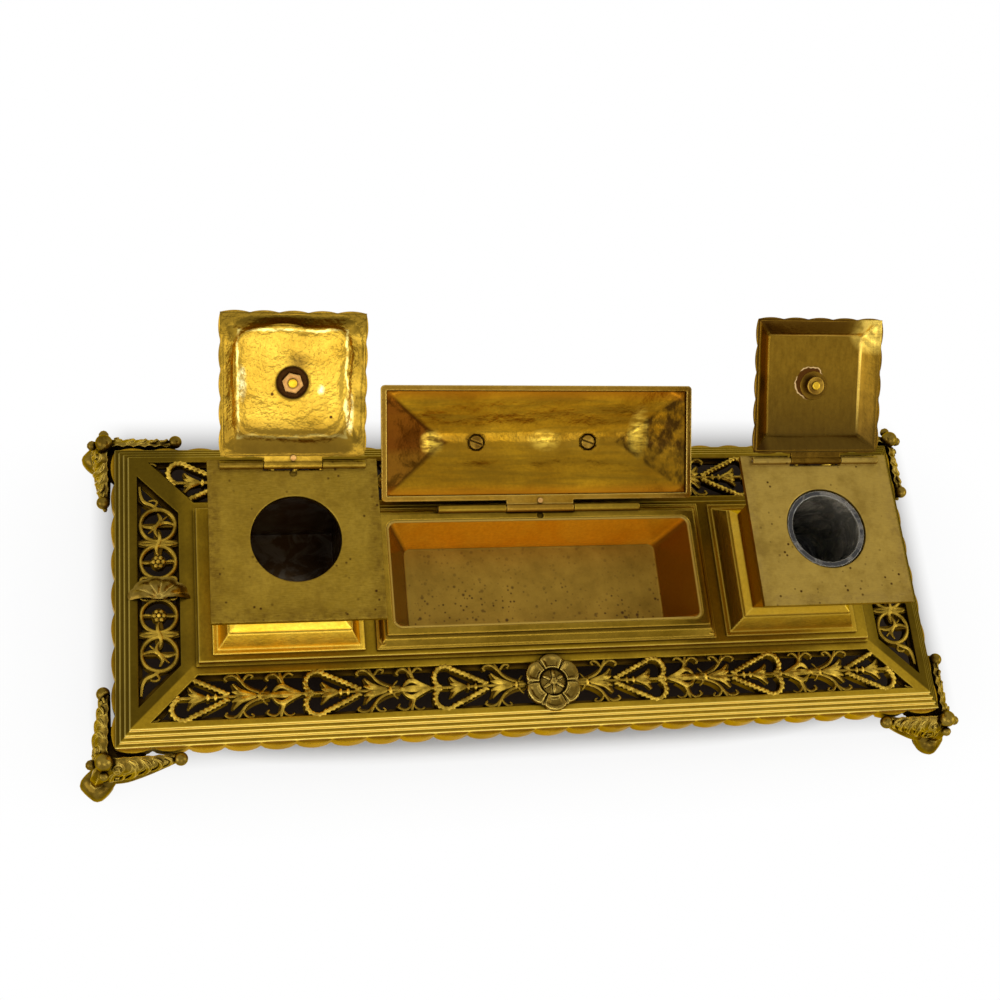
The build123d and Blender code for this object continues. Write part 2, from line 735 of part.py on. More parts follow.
def slotted_screws(node, spots, seat, head_radius, head_height, shank_radius, shank):
    """Upright screws with their heads below the seat, as one group of solids."""
    with BuildPart() as screws:
        with BuildSketch(Plane.XY.offset(seat - head_height)):
            with Locations(*spots):
                Circle(head_radius)
        extrude(amount=head_height)
        with BuildSketch(Plane.XY.offset(seat)):
            with Locations(*spots):
                Circle(shank_radius)
        extrude(amount=shank)
        with BuildSketch(Plane.XY.offset(seat - head_height)):
            with Locations(*spots):
                Rectangle(2 * head_radius + screw_slot, screw_slot)
        extrude(amount=head_height / 2, mode=Mode.SUBTRACT)
    save(screws.part, node)


foot_screw_spots = [(sx * foot_boss_x, sy * foot_boss_y) for sx in (-1, 1) for sy in (-1, 1)]
slotted_screws(
    "foot_screws",
    foot_screw_spots,
    head_seat,
    screw_head_radius,
    screw_head_height,
    screw_radius,
    moulding_under - head_seat + screw_bite,
)
slotted_screws(
    "well_screws",
    well_screw_spots,
    deck_under,
    screw_head_radius,
    screw_head_height,
    screw_radius,
    deck_plate + plinth_height + floor_bite,
)
slotted_screws(
    "stamp_box_screws",
    box_screw_spots,
    deck_under,
    small_screw_head,
    screw_head_height,
    small_screw_radius,
    deck_plate + plinth_height + floor_bite,
)

# ---- stamp box: moulded body, tapered tray ---------------------------------------------------------
flange_top = box_top - box_rim
flange_under = flange_top - tray_wall
pocket_length = flange_length + 2 * tray_gap
pocket_width = flange_width + 2 * tray_gap
with BuildPart() as stamp_box_body:
    with BuildSketch(Plane.XY.offset(plinth_top)):
        Rectangle(box_foot_length, box_foot_width)
    extrude(amount=box_foot_height)
    with BuildSketch(Plane.XY.offset(plinth_top + box_foot_height)):
        Rectangle(box_foot_length - 2 * box_foot_inset, box_foot_width - 2 * box_foot_inset)
    with BuildSketch(Plane.XY.offset(flange_top)):
        Rectangle(box_waist_length, box_waist_width)
    loft()
    with BuildSketch(Plane.XY.offset(flange_top)):
        Rectangle(box_rim_length, box_rim_width)
    extrude(amount=box_rim)
    with BuildSketch(Plane.XY.offset(plinth_top)):
        Rectangle(pocket_length, pocket_width)
    extrude(amount=flange_top - plinth_top, mode=Mode.SUBTRACT)
    with BuildSketch(Plane.XY.offset(flange_top)):
        RectangleRounded(
            tray_outer_length + 2 * pin_clearance, tray_outer_width + 2 * pin_clearance, tray_corner
        )
    extrude(amount=box_rim, mode=Mode.SUBTRACT)
    # hinge barrels on a web behind the rim, with room for the lid's barrel
    for side in (-1, 1):
        middle = side * (stamp_barrel_middle + stamp_barrel_end) / 2
        web_half = (stamp_barrel_end - stamp_barrel_middle) / 2
        with BuildSketch(across_plane(middle, stamp_hinge_y, stamp_hinge_z)):
            Circle(stamp_barrel_radius)
            with Locations((-stamp_barrel_radius, -hinge_rise_stamp - box_rim / 2)):
                Rectangle(2 * stamp_barrel_radius, box_rim)
        extrude(amount=web_half, both=True)
    with BuildSketch(across_plane(0, stamp_hinge_y, stamp_hinge_z)):
        Circle(stamp_barrel_radius + barrel_gap)
    extrude(amount=stamp_barrel_middle, both=True, mode=Mode.SUBTRACT)
    with BuildSketch(across_plane(0, stamp_hinge_y, stamp_hinge_z)):
        Circle(pin_radius + pin_clearance)
    extrude(amount=stamp_barrel_end, both=True, mode=Mode.SUBTRACT)
    with BuildSketch(Plane.XY.offset(plinth_top)):
        with Locations(*box_screw_spots):
            Circle(small_screw_radius + screw_clearance)
    extrude(amount=floor_bite + screw_clearance, mode=Mode.SUBTRACT)
    # dimple in the rim for the head of the hinge rivet
    with BuildSketch(Plane.XY.offset(box_top)):
        with Locations((0, stamp_hinge_y - rivet_reach)):
            Circle(rivet_radius + barrel_gap)
    extrude(amount=-2 * rivet_head, mode=Mode.SUBTRACT)
save(stamp_box_body.part, "stamp_box_body")

tray_floor_z = box_top - tray_depth
with BuildPart() as stamp_tray:
    with BuildSketch(Plane.XY.offset(box_top)):
        RectangleRounded(tray_outer_length, tray_outer_width, tray_corner)
    with BuildSketch(Plane.XY.offset(tray_floor_z - tray_wall)):
        RectangleRounded(
            tray_floor_length + 2 * tray_wall, tray_floor_width + 2 * tray_wall, tray_corner
        )
    loft()
    with BuildSketch(Plane.XY.offset(flange_under)):
        RectangleRounded(flange_length, flange_width, tray_corner)
    extrude(amount=tray_wall)
    with BuildSketch(Plane.XY.offset(box_top)):
        RectangleRounded(tray_length, tray_width, tray_corner - tray_wall)
    with BuildSketch(Plane.XY.offset(tray_floor_z)):
        RectangleRounded(tray_floor_length, tray_floor_width, tray_corner - tray_wall)
    loft(mode=Mode.SUBTRACT)
save(stamp_tray.part, "stamp_tray")

# ---- stamp lid on its hinge, with its handle ----------------------------------------------------------
stamp_plane = lid_plane(0, stamp_hinge_y, stamp_hinge_z, stamp_open_angle)
stamp_seat = closed_gap - hinge_rise_stamp
stamp_middle = stamp_hinge_reach + stamp_lid_width / 2
ridge_top = stamp_seat + stamp_lid_rise
ridge_under = ridge_top - stamp_lid_skin
with BuildPart() as stamp_lid:
    with BuildSketch(stamp_plane.offset(stamp_seat)):
        with Locations((0, -stamp_middle)):
            RectangleRounded(stamp_lid_length, stamp_lid_width, stamp_lid_corner)
    extrude(amount=stamp_lid_rim)
    with BuildSketch(stamp_plane.offset(stamp_seat + stamp_lid_rim)):
        with Locations((0, -stamp_middle)):
            Rectangle(stamp_lid_length - stamp_lid_corner, stamp_lid_width - stamp_lid_corner)
    with BuildSketch(stamp_plane.offset(ridge_top)):
        with Locations((0, -stamp_middle)):
            Rectangle(stamp_ridge_length, stamp_ridge_width)
    loft()
    with BuildSketch(stamp_plane.offset(stamp_seat)):
        with Locations((0, -stamp_middle)):
            Rectangle(
                stamp_lid_length - 2 * stamp_lid_skin - stamp_lid_corner,
                stamp_lid_width - 2 * stamp_lid_skin - stamp_lid_corner,
            )
    extrude(amount=stamp_lid_rim, mode=Mode.SUBTRACT)
    with BuildSketch(stamp_plane.offset(stamp_seat + stamp_lid_rim)):
        with Locations((0, -stamp_middle)):
            Rectangle(
                stamp_lid_length - 2 * stamp_lid_skin - stamp_lid_corner,
                stamp_lid_width - 2 * stamp_lid_skin - stamp_lid_corner,
            )
    with BuildSketch(stamp_plane.offset(ridge_under)):
        with Locations((0, -stamp_middle)):
            Rectangle(stamp_ridge_length, stamp_ridge_width)
    loft(mode=Mode.SUBTRACT)
    with BuildSketch(stamp_plane.offset(stamp_seat)):
        with Locations((0, -(stamp_hinge_reach + stamp_lid_skin) / 2)):
            Rectangle(
                2 * (stamp_barrel_middle - barrel_gap), stamp_hinge_reach + stamp_lid_skin
            )
    extrude(amount=stamp_lid_skin)
    with BuildSketch(across_plane(0, stamp_hinge_y, stamp_hinge_z)):
        Circle(stamp_barrel_radius)
    extrude(amount=stamp_barrel_middle - barrel_gap, both=True)
    with BuildSketch(across_plane(0, stamp_hinge_y, stamp_hinge_z)):
        Circle(pin_radius + pin_clearance)
    extrude(amount=stamp_barrel_middle, both=True, mode=Mode.SUBTRACT)
    with BuildSketch(stamp_plane.offset(stamp_seat)):
        with Locations((0, -rivet_reach)):
            Circle(rivet_shank + pin_clearance)
    extrude(amount=stamp_lid_skin, mode=Mode.SUBTRACT)
    with BuildSketch(stamp_plane.offset(ridge_under)):
        with Locations((-handle_screw_x, -stamp_middle), (handle_screw_x, -stamp_middle)):
            Circle(handle_screw_radius + screw_clearance)
    extrude(amount=stamp_lid_skin, mode=Mode.SUBTRACT)
save(stamp_lid.part, "stamp_lid")

with BuildPart() as stamp_hinge_pin:
    with BuildSketch(across_plane(0, stamp_hinge_y, stamp_hinge_z)):
        Circle(pin_radius)
    extrude(amount=stamp_barrel_end, both=True)
save(stamp_hinge_pin.part, "stamp_hinge_pin")

with BuildPart() as stamp_hinge_rivet:
    with BuildSketch(stamp_plane.offset(stamp_seat - rivet_head)):
        with Locations((0, -rivet_reach)):
            Circle(rivet_radius)
    extrude(amount=rivet_head)
    with BuildSketch(stamp_plane.offset(stamp_seat)):
        with Locations((0, -rivet_reach)):
            Circle(rivet_shank)
    extrude(amount=stamp_lid_skin)
save(stamp_hinge_rivet.part, "stamp_hinge_rivet")

handle_level = ridge_top + handle_rise
handle_half = handle_screw_x + handle_post_radius
with BuildPart() as stamp_handle:
    with BuildSketch(stamp_plane.offset(ridge_top)):
        with Locations((-handle_screw_x, -stamp_middle), (handle_screw_x, -stamp_middle)):
            Circle(handle_post_radius)
    extrude(amount=handle_rise, taper=handle_post_taper)
    with BuildSketch(turning_plane(stamp_plane, stamp_middle)):
        with BuildLine():
            ThreePointArc(
                (-handle_half, handle_level + handle_bar_radius),
                (0, handle_level + handle_bar_radius + handle_bar_swell),
                (handle_half, handle_level + handle_bar_radius),
            )
            Polyline(
                (handle_half, handle_level + handle_bar_radius),
                (handle_half, handle_level),
                (-handle_half, handle_level),
                (-handle_half, handle_level + handle_bar_radius),
            )
        make_face()
    handle_middle = stamp_plane.from_local_coords((0, -stamp_middle, handle_level))
    revolve(axis=Axis(handle_middle, stamp_plane.x_dir))
    for end in (-handle_half, handle_half):
        with Locations(stamp_plane.from_local_coords((end, -stamp_middle, handle_level))):
            Sphere(handle_knob_radius)
    with BuildSketch(stamp_plane.offset(ridge_top)):
        with Locations((-handle_screw_x, -stamp_middle), (handle_screw_x, -stamp_middle)):
            Circle(handle_screw_radius + pin_clearance)
    extrude(amount=handle_screw_bite + pin_clearance, mode=Mode.SUBTRACT)
save(stamp_handle.part, "stamp_handle")

with BuildPart() as stamp_handle_screws:
    with BuildSketch(stamp_plane.offset(ridge_under - handle_screw_head_height)):
        with Locations((-handle_screw_x, -stamp_middle), (handle_screw_x, -stamp_middle)):
            Circle(handle_screw_head)
    extrude(amount=handle_screw_head_height)
    with BuildSketch(stamp_plane.offset(ridge_under)):
        with Locations((-handle_screw_x, -stamp_middle), (handle_screw_x, -stamp_middle)):
            Circle(handle_screw_radius)
    extrude(amount=stamp_lid_skin + handle_screw_bite)
    with BuildSketch(stamp_plane.offset(ridge_under - handle_screw_head_height)):
        with Locations((-handle_screw_x, -stamp_middle), (handle_screw_x, -stamp_middle)):
            Rectangle(2 * handle_screw_head + screw_slot, screw_slot, rotation=handle_slot_turn)
    extrude(amount=handle_screw_head_height / 2, mode=Mode.SUBTRACT)
save(stamp_handle_screws.part, "stamp_handle_screws")

# ---- wells: body, plate, lid, hinge, finial ---------------------------------------------------------------
well_seat = closed_gap - hinge_rise_well
well_middle = well_hinge_reach + lid_size / 2
well_rivet_reach = well_barrel_radius + rivet_radius + rivet_gap
flange_level = well_seat + lid_flange_rise
inner_size = lid_size - 2 * lid_flange_width
crown_size = inner_size + 2 * lid_skin
wall_level = flange_level + lid_skin + lid_wall_height
crown_top = wall_level + lid_crown_rise
ceiling = flange_level + lid_wall_height
for side, name, open_angle in ((-1, "left", left_open_angle), (1, "right", right_open_angle)):
    centre = side * well_spacing
    if side == -1:
        nut_seat = ceiling + lid_dish_depth + lid_recess_depth
    else:
        nut_seat = ceiling - collar_height
    with BuildPart() as well_body:
        with BuildSketch(Plane.XY.offset(plinth_top)):
            with Locations((centre, 0)):
                Rectangle(well_foot, well_foot)
        extrude(amount=well_foot_height)
        ogee_foot_z = plinth_top + well_foot_height
        ogee_top_z = ogee_foot_z + well_ogee_height
        with BuildSketch(Plane.XY.offset(ogee_foot_z)):
            with Locations((centre, 0)):
                Rectangle(well_ogee_foot, well_ogee_foot)
        with BuildSketch(Plane.XY.offset(ogee_top_z)):
            with Locations((centre, 0)):
                Rectangle(well_ogee_top, well_ogee_top)
        loft()
        shoulder_z = ogee_top_z + well_fillet_height
        with BuildSketch(Plane.XY.offset(ogee_top_z)):
            with Locations((centre, 0)):
                Rectangle(well_ogee_top - 2 * reed_round, well_ogee_top - 2 * reed_round)
        extrude(amount=well_fillet_height)
        neck_z = shoulder_z + well_shoulder_height
        with BuildSketch(Plane.XY.offset(shoulder_z)):
            with Locations((centre, 0)):
                Rectangle(well_ogee_top - 2 * reed_round, well_ogee_top - 2 * reed_round)
        with BuildSketch(Plane.XY.offset(neck_z)):
            with Locations((centre, 0)):
                Rectangle(well_neck, well_neck)
        loft()
        with BuildSketch(Plane.XY.offset(neck_z)):
            with Locations((centre, 0)):
                Rectangle(well_neck, well_neck)
        extrude(amount=plate_under - neck_z)
        with BuildSketch(Plane.XY.offset(plate_under - well_cornice_height)):
            with Locations((centre, 0)):
                Rectangle(well_neck, well_neck)
        with BuildSketch(Plane.XY.offset(plate_under)):
            with Locations((centre, 0)):
                Rectangle(well_cornice, well_cornice)
        loft()
        with BuildSketch(Plane.XY.offset(plinth_top + well_floor)):
            with Locations((centre, 0)):
                Rectangle(well_neck - 2 * well_wall, well_neck - 2 * well_wall)
        extrude(amount=well_height - well_floor, mode=Mode.SUBTRACT)
        with BuildSketch(Plane.XY.offset(plinth_top)):
            with Locations((centre - well_screw_offset, 0), (centre + well_screw_offset, 0)):
                Circle(screw_radius + screw_clearance)
        extrude(amount=floor_bite + screw_clearance, mode=Mode.SUBTRACT)
    save(well_body.part, name + "_well_body")

    with BuildPart() as well_plate:
        with BuildSketch(Plane.XY.offset(plate_under)):
            with Locations((centre, 0)):
                Rectangle(plate_size, plate_size)
                Circle(well_hole_radius, mode=Mode.SUBTRACT)
        extrude(amount=plate_thickness)
        with BuildSketch(across_plane(centre, well_hinge_y, well_hinge_z)):
            Circle(well_barrel_radius)
        extrude(amount=well_barrel_end, both=True)
        # notch for the lid's barrel
        notch_depth = plate_size / 2 - well_hinge_y + well_barrel_radius + barrel_gap
        with BuildSketch(Plane.XY.offset(plate_under)):
            with Locations((centre, plate_size / 2 - notch_depth / 2)):
                Rectangle(2 * well_barrel_middle, notch_depth)
        extrude(amount=plate_thickness + 2 * well_barrel_radius, mode=Mode.SUBTRACT)
        with BuildSketch(across_plane(centre, well_hinge_y, well_hinge_z)):
            Circle(pin_radius + pin_clearance)
        extrude(amount=well_barrel_end, both=True, mode=Mode.SUBTRACT)
        if side == -1:
            # dimple for the head of the hinge rivet
            with BuildSketch(Plane.XY.offset(plate_top)):
                with Locations((centre, well_hinge_y - well_rivet_reach)):
                    Circle(rivet_radius + barrel_gap)
            extrude(amount=-2 * rivet_head, mode=Mode.SUBTRACT)
    save(well_plate.part, name + "_well_plate")

    lid_frame = lid_plane(centre, well_hinge_y, well_hinge_z, open_angle)
    with BuildPart() as lid:
        with BuildSketch(lid_frame.offset(well_seat)):
            with BuildLine():
                scalloped_outline(
                    lid_size - 2 * lid_scallop_swell,
                    lid_size - 2 * lid_scallop_swell,
                    lid_scallops,
                    lid_scallops,
                    lid_scallop_swell,
                    -well_middle,
                )
            make_face()
        extrude(amount=lid_edge)
        with BuildSketch(lid_frame.offset(well_seat + lid_edge)):
            with Locations((0, -well_middle)):
                Rectangle(lid_size - 2 * lid_scallop_swell, lid_size - 2 * lid_scallop_swell)
        with BuildSketch(lid_frame.offset(flange_level + lid_skin)):
            with Locations((0, -well_middle)):
                Rectangle(crown_size, crown_size)
        loft()
        with BuildSketch(lid_frame.offset(flange_level + lid_skin)):
            with Locations((0, -well_middle)):
                Rectangle(crown_size, crown_size)
        extrude(amount=lid_wall_height)
        with BuildSketch(lid_frame.offset(wall_level)):
            with Locations((0, -well_middle)):
                Rectangle(crown_size - 2 * lid_skin, crown_size - 2 * lid_skin)
        with BuildSketch(lid_frame.offset(crown_top)):
            with Locations((0, -well_middle)):
                Rectangle(lid_crown_flat, lid_crown_flat)
        loft()
        # hollow inside
        with BuildSketch(lid_frame.offset(well_seat)):
            with Locations((0, -well_middle)):
                Rectangle(
                    lid_size - 2 * lid_scallop_swell - lid_skin,
                    lid_size - 2 * lid_scallop_swell - lid_skin,
                )
        with BuildSketch(lid_frame.offset(flange_level)):
            with Locations((0, -well_middle)):
                Rectangle(inner_size, inner_size)
        loft(mode=Mode.SUBTRACT)
        with BuildSketch(lid_frame.offset(flange_level)):
            with Locations((0, -well_middle)):
                RectangleRounded(inner_size - lid_skin, inner_size - lid_skin, lid_flange_width / 2)
        extrude(amount=lid_wall_height, mode=Mode.SUBTRACT)
        if side == -1:
            with BuildSketch(lid_frame.offset(ceiling)):
                with Locations((0, -well_middle)):
                    Circle(lid_dish_radius)
            extrude(amount=lid_dish_depth, mode=Mode.SUBTRACT)
            with BuildSketch(lid_frame.offset(ceiling + lid_dish_depth)):
                with Locations((0, -well_middle)):
                    Circle(lid_recess_radius)
            extrude(amount=lid_recess_depth, mode=Mode.SUBTRACT)
        else:
            with BuildSketch(lid_frame.offset(ceiling)):
                with Locations((0, -well_middle)):
                    Circle(collar_radius)
            extrude(amount=-collar_height)
        # barrel and leaf of the hinge
        with BuildSketch(lid_frame.offset(well_seat)):
            with Locations((0, -(well_hinge_reach + lid_skin) / 2)):
                Rectangle(2 * (well_barrel_middle - barrel_gap), well_hinge_reach + lid_skin)
        extrude(amount=lid_edge)
        with BuildSketch(across_plane(centre, well_hinge_y, well_hinge_z)):
            Circle(well_barrel_radius)
        extrude(amount=well_barrel_middle - barrel_gap, both=True)
        with BuildSketch(across_plane(centre, well_hinge_y, well_hinge_z)):
            Circle(pin_radius + pin_clearance)
        extrude(amount=well_barrel_middle, both=True, mode=Mode.SUBTRACT)
        with BuildSketch(lid_frame.offset(well_seat)):
            with Locations((0, -well_middle)):
                Circle(finial_stud_radius + pin_clearance)
        extrude(amount=crown_top - well_seat, mode=Mode.SUBTRACT)
        if side == -1:
            with BuildSketch(lid_frame.offset(well_seat)):
                with Locations((0, -well_rivet_reach)):
                    Circle(rivet_shank + pin_clearance)
            extrude(amount=lid_edge, mode=Mode.SUBTRACT)
    save(lid.part, name + "_lid")

    with BuildPart() as hinge_pin:
        with BuildSketch(across_plane(centre, well_hinge_y, well_hinge_z)):
            Circle(pin_radius)
        extrude(amount=well_barrel_end, both=True)
    save(hinge_pin.part, name + "_hinge_pin")

    # turned finial outside, its stud and the nut inside
    with BuildPart() as finial:
        with BuildSketch(turning_plane(lid_frame, well_middle)):
            with BuildLine():
                Polyline(
                    (0, nut_seat - lid_nut_height - stud_proud),
                    (finial_stud_radius, nut_seat - lid_nut_height - stud_proud),
                    (finial_stud_radius, crown_top),
                    (finial_radius, crown_top),
                    (finial_radius, crown_top + 1.0),
                    (0.55 * finial_radius, crown_top + 1.8),
                    (0.38 * finial_radius, crown_top + 0.3 * finial_height),
                    (0.6 * finial_radius, crown_top + 0.36 * finial_height),
                    (0.6 * finial_radius, crown_top + 0.42 * finial_height),
                    (0.45 * finial_radius, crown_top + 0.46 * finial_height),
                )
                ThreePointArc(
                    (0.45 * finial_radius, crown_top + 0.46 * finial_height),
                    (0.86 * finial_radius, crown_top + 0.68 * finial_height),
                    (0.3 * finial_radius, crown_top + 0.92 * finial_height),
                )
                Polyline(
                    (0.3 * finial_radius, crown_top + 0.92 * finial_height),
                    (0, crown_top + finial_height),
                    (0, nut_seat - lid_nut_height - stud_proud),
                )
            make_face()
        revolve(axis=Axis(lid_frame.from_local_coords((0, -well_middle, 0)), lid_frame.z_dir))
    save(finial.part, name + "_finial")

    with BuildPart() as finial_nut:
        with BuildSketch(lid_frame.offset(nut_seat - lid_nut_height)):
            with Locations((0, -well_middle)):
                if side == -1:
                    RegularPolygon(left_nut_radius, 6, rotation=left_nut_turn)
                else:
                    Circle(right_nut_radius)
                Circle(finial_stud_radius + pin_clearance, mode=Mode.SUBTRACT)
        extrude(amount=lid_nut_height)
    save(finial_nut.part, name + "_finial_nut")

    if side == -1:
        with BuildPart() as hinge_rivet:
            with BuildSketch(lid_frame.offset(well_seat - rivet_head)):
                with Locations((0, -well_rivet_reach)):
                    Circle(rivet_radius)
            extrude(amount=rivet_head)
            with BuildSketch(lid_frame.offset(well_seat)):
                with Locations((0, -well_rivet_reach)):
                    Circle(rivet_shank)
            extrude(amount=lid_edge)
        save(hinge_rivet.part, name + "_hinge_rivet")

# ---- glass liner that stands in the right well ------------------------------------------------------------
liner_radius = well_hole_radius - liner_clearance
liner_foot = plinth_top + well_floor
liner_top = plate_top - liner_sink
with BuildPart() as right_glass_liner:
    with BuildSketch(Plane.XY.offset(liner_foot)):
        with Locations((well_spacing, 0)):
            Circle(liner_radius)
    extrude(amount=liner_top - liner_foot)
    fillet(right_glass_liner.faces().sort_by(Axis.Z)[0].edges(), radius=liner_base / 3)
    with BuildSketch(Plane.XY.offset(liner_foot + liner_base)):
        with Locations((well_spacing, 0)):
            Circle(liner_radius - liner_wall)
    extrude(amount=liner_top - liner_foot - liner_base, mode=Mode.SUBTRACT)
    fillet(right_glass_liner.faces().sort_by(Axis.Z)[-1].edges(), radius=liner_wall / 4)
save(right_glass_liner.part, "right_glass_liner")
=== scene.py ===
"""Looks of the desk inkstand: gilt brass, its chased ornaments, the glass liner and the stage."""

import math
from functools import partialmethod

import bpy
from bpy.props import FloatProperty, FloatVectorProperty, PointerProperty
from mathutils import Matrix, Vector, noise as field


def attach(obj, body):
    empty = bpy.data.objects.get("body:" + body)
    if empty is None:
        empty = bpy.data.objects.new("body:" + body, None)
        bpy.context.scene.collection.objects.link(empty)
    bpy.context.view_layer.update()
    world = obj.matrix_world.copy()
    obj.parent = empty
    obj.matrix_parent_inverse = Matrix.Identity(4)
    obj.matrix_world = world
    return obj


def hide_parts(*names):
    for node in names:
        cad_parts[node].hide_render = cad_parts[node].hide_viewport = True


bl_info = {
    "name": "Desk Inkstand",
    "version": (1, 0, 0),
    "blender": (4, 5, 0),
    "location": "View3D > Sidebar > Inkstand",
    "description": "Dresses the inkstand's solids in gilt brass and adds its cast ornaments",
    "category": "Object",
}

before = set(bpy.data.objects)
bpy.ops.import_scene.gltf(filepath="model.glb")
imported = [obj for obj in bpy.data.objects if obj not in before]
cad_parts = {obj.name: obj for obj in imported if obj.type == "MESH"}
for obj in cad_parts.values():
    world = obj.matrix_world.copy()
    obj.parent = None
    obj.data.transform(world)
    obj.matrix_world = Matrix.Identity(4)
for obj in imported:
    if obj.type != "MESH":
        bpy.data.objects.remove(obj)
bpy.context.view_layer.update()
MM = 0.001

# ---- the camera of the photograph ----------------------------------------------------
CAMERA_PLACE = (-0.1395, -0.1704, 0.5475)
CAMERA_RIGHT = (0.9743, -0.0957, 0.2040)
CAMERA_DOWN = (-0.0136, -0.9288, -0.3704)
CAMERA_AHEAD = (0.2249, 0.3581, -0.9062)
CAMERA_LENS = 53.31
CAMERA_SENSOR = 36.0

# ---- places on the stand, in millimetres -----------------------------------------------
HALF_LENGTH = 150.0         # middle to the ends of the flat deck
HALF_WIDTH = 50.7
DECK_TOP = 36.0
REED_WIDTH = 1.65
RELIEF_LEVEL = 35.15        # middle of the rods that lie on the fretwork
EDGE_RADIUS = 0.8           # how far the rubbing of an edge reaches
RELIEF_DEPTH = 0.4          # depth of the finest relief of the brass
STUD_FOOT = 30.2
FRONT_MIDDLE = 40.35        # middle line of the front and rear windows
FRONT_MITRE = 94.55         # x + y on the mitred end of the front window
SIDE_MIDDLE = 139.75
SIDE_MITRE = 104.05
PATTERN_START = 9.2
PERIOD = 46.2
REPEATS = 3
WELL_X = 95.0
ARM_OUT = 6.65
# along an arm of a foot: its thickness, its depth and the height of its middle
ARM_THICK = ((-17.0, 2.6), (-8.5, 4.0), (3.0, 5.8), (9.0, 5.8))
ARM_DEPTH = ((-17.0, 4.8), (-8.5, 11.0), (3.0, 16.0), (9.0, 15.0))
ARM_LEVEL = ((-17.0, 27.5), (-8.5, 22.5), (3.0, 17.0), (9.0, 14.0))
TOE_OUT = 12.0
# strokes of a leaf on an arm: steps along, share of the arm's height and how proud, then the radii
LEAF_STROKES = (
    (((3, -0.12, 0), (0.2, -0.02, 0.5), (-1.6, 0.45, 0.6), (-0.6, 0.85, 0.9), (1.2, 0.98, 1.3)),
     (0.35, 1, 1.15, 0.9, 0.4)),
    (((2.6, 0.3, 0), (1.2, 0.4, 0.5), (0.9, 0.8, 0.7)), (0.3, 0.75, 0.35)),
)
CIRCLE = [(math.cos(k * math.pi / 5), math.sin(k * math.pi / 5)) for k in range(11)]
PAN_THICK = 0.2             # the linings that carry the relief inside the lids
PAN_SIDE = 48.2
PAN_START = 3.15            # from the hinge to the lining
LID_HINGE = (26.2, 84.9)    # back from the middle, and up
LEFT_OPEN, RIGHT_OPEN, STAMP_OPEN = 145, 151, 155
STAMP_HINGE = (24.5, 45.9)
STAMP_PAN = (115.4, 38.5)
STAMP_PAN_MIDDLE = 24.35
# half size of the hollow and run of its slope, along and across
STAMP_HOLLOW = ((57.85, 17.85), (19.4, 15.9))
STAMP_SCREW_X = 22.0
STAMP_TOP = 12.25           # behind the solid, so that its screw heads show

# ---- the floor under the stand, in metres, along and across --------------------------------
# the dark patch is a painted shadow under the stand
SHADE_MIDDLE = (0.0078, 0.012)
SHADE_FADE = ((0.173, 0.1588), (0.07, 0.0514))   # where the dark patch ends, and where it is full
WHITE_START = (0.16, 0.063)                      # half size of the rounded area that isn't white


def tint(red, green, blue):
    """Linear colour from the 0 to 255 values that a screen shows."""
    def channel(value):
        share = value / 255
        return share / 12.92 if share <= 0.04045 else ((share + 0.055) / 1.055) ** 2.4
    return (channel(red), channel(green), channel(blue))


# ---- properties ------------------------------------------------------------------------
class InkstandBrass(bpy.types.PropertyGroup):
    """Colours and finish of the brass."""

    gilt: FloatVectorProperty(
        name="Gilt", description="Rubbed, bright gilt brass", subtype="COLOR", size=3,
        min=0, max=1, default=tint(236, 196, 62),
    )
    gold: FloatVectorProperty(
        name="Gold", description="Gilt brass of the ornaments and mouldings", subtype="COLOR", size=3,
        min=0, max=1, default=tint(198, 152, 30),
    )
    olive: FloatVectorProperty(
        name="Olive", description="Gilt brass of the deck, which has dulled", subtype="COLOR", size=3,
        min=0, max=1, default=tint(140, 110, 20),
    )
    # The hollows take this colour as patina, and also as painted shade.
    patina: FloatVectorProperty(
        name="Patina", description="Brown in the hollows and round the openings",
        subtype="COLOR", size=3, min=0, max=1, default=tint(40, 26, 6),
    )
    amber: FloatVectorProperty(
        name="Amber", description="Lacquered walls of the tray", subtype="COLOR", size=3,
        min=0, max=1, default=tint(236, 152, 12),
    )
    copper: FloatVectorProperty(
        name="Copper", description="Reddish rivets and nuts", subtype="COLOR", size=3,
        min=0, max=1, default=tint(150, 102, 52),
    )
    polish: FloatProperty(
        name="Polish", description="Roughness of the polished surfaces", subtype="FACTOR",
        min=0, max=1, default=0.27,
    )


class InkstandStage(bpy.types.PropertyGroup):
    """Floor and lamps."""

    floor_size: FloatProperty(
        name="Floor Size", description="Side of the floor", unit="LENGTH", default=8.0, min=1.0,
    )
    key_power: FloatProperty(
        name="Key Lamp", description="Power of the lamp in front", default=2.6, min=0.0,
    )
    side_power: FloatProperty(
        name="Side Lamps", description="Power of the lamps at the sides", default=5.0, min=0.0,
    )
    floor_light: FloatProperty(
        name="Surroundings", description="How strongly the white surroundings light matt surfaces",
        default=0.72, min=0.0,
    )


def brass():
    return bpy.context.scene.inkstand_brass


def stage_settings():
    return bpy.context.scene.inkstand_stage


# ---- node helpers ------------------------------------------------------------------------
def put(socket, value):
    """Link a reading or socket to a socket, or write a plain value. A tuple is a screen colour."""
    if isinstance(value, Reading):
        value = value.socket
    if isinstance(value, bpy.types.NodeSocket):
        socket.id_data.links.new(value, socket)
    elif socket.type == "RGBA":
        shade = tint(*value) if isinstance(value, tuple) else tuple(value)
        socket.default_value = (*shade[:3], 1)
    else:
        socket.default_value = value


def added(tree, kind, settings, inputs):
    """New node with its settings and its inputs, which go by name or number."""
    node = tree.nodes.new("ShaderNode" + kind)
    for name, value in settings.items():
        setattr(node, name, value)
    for key, value in inputs.items():
        put(node.inputs[key], value)
    return node


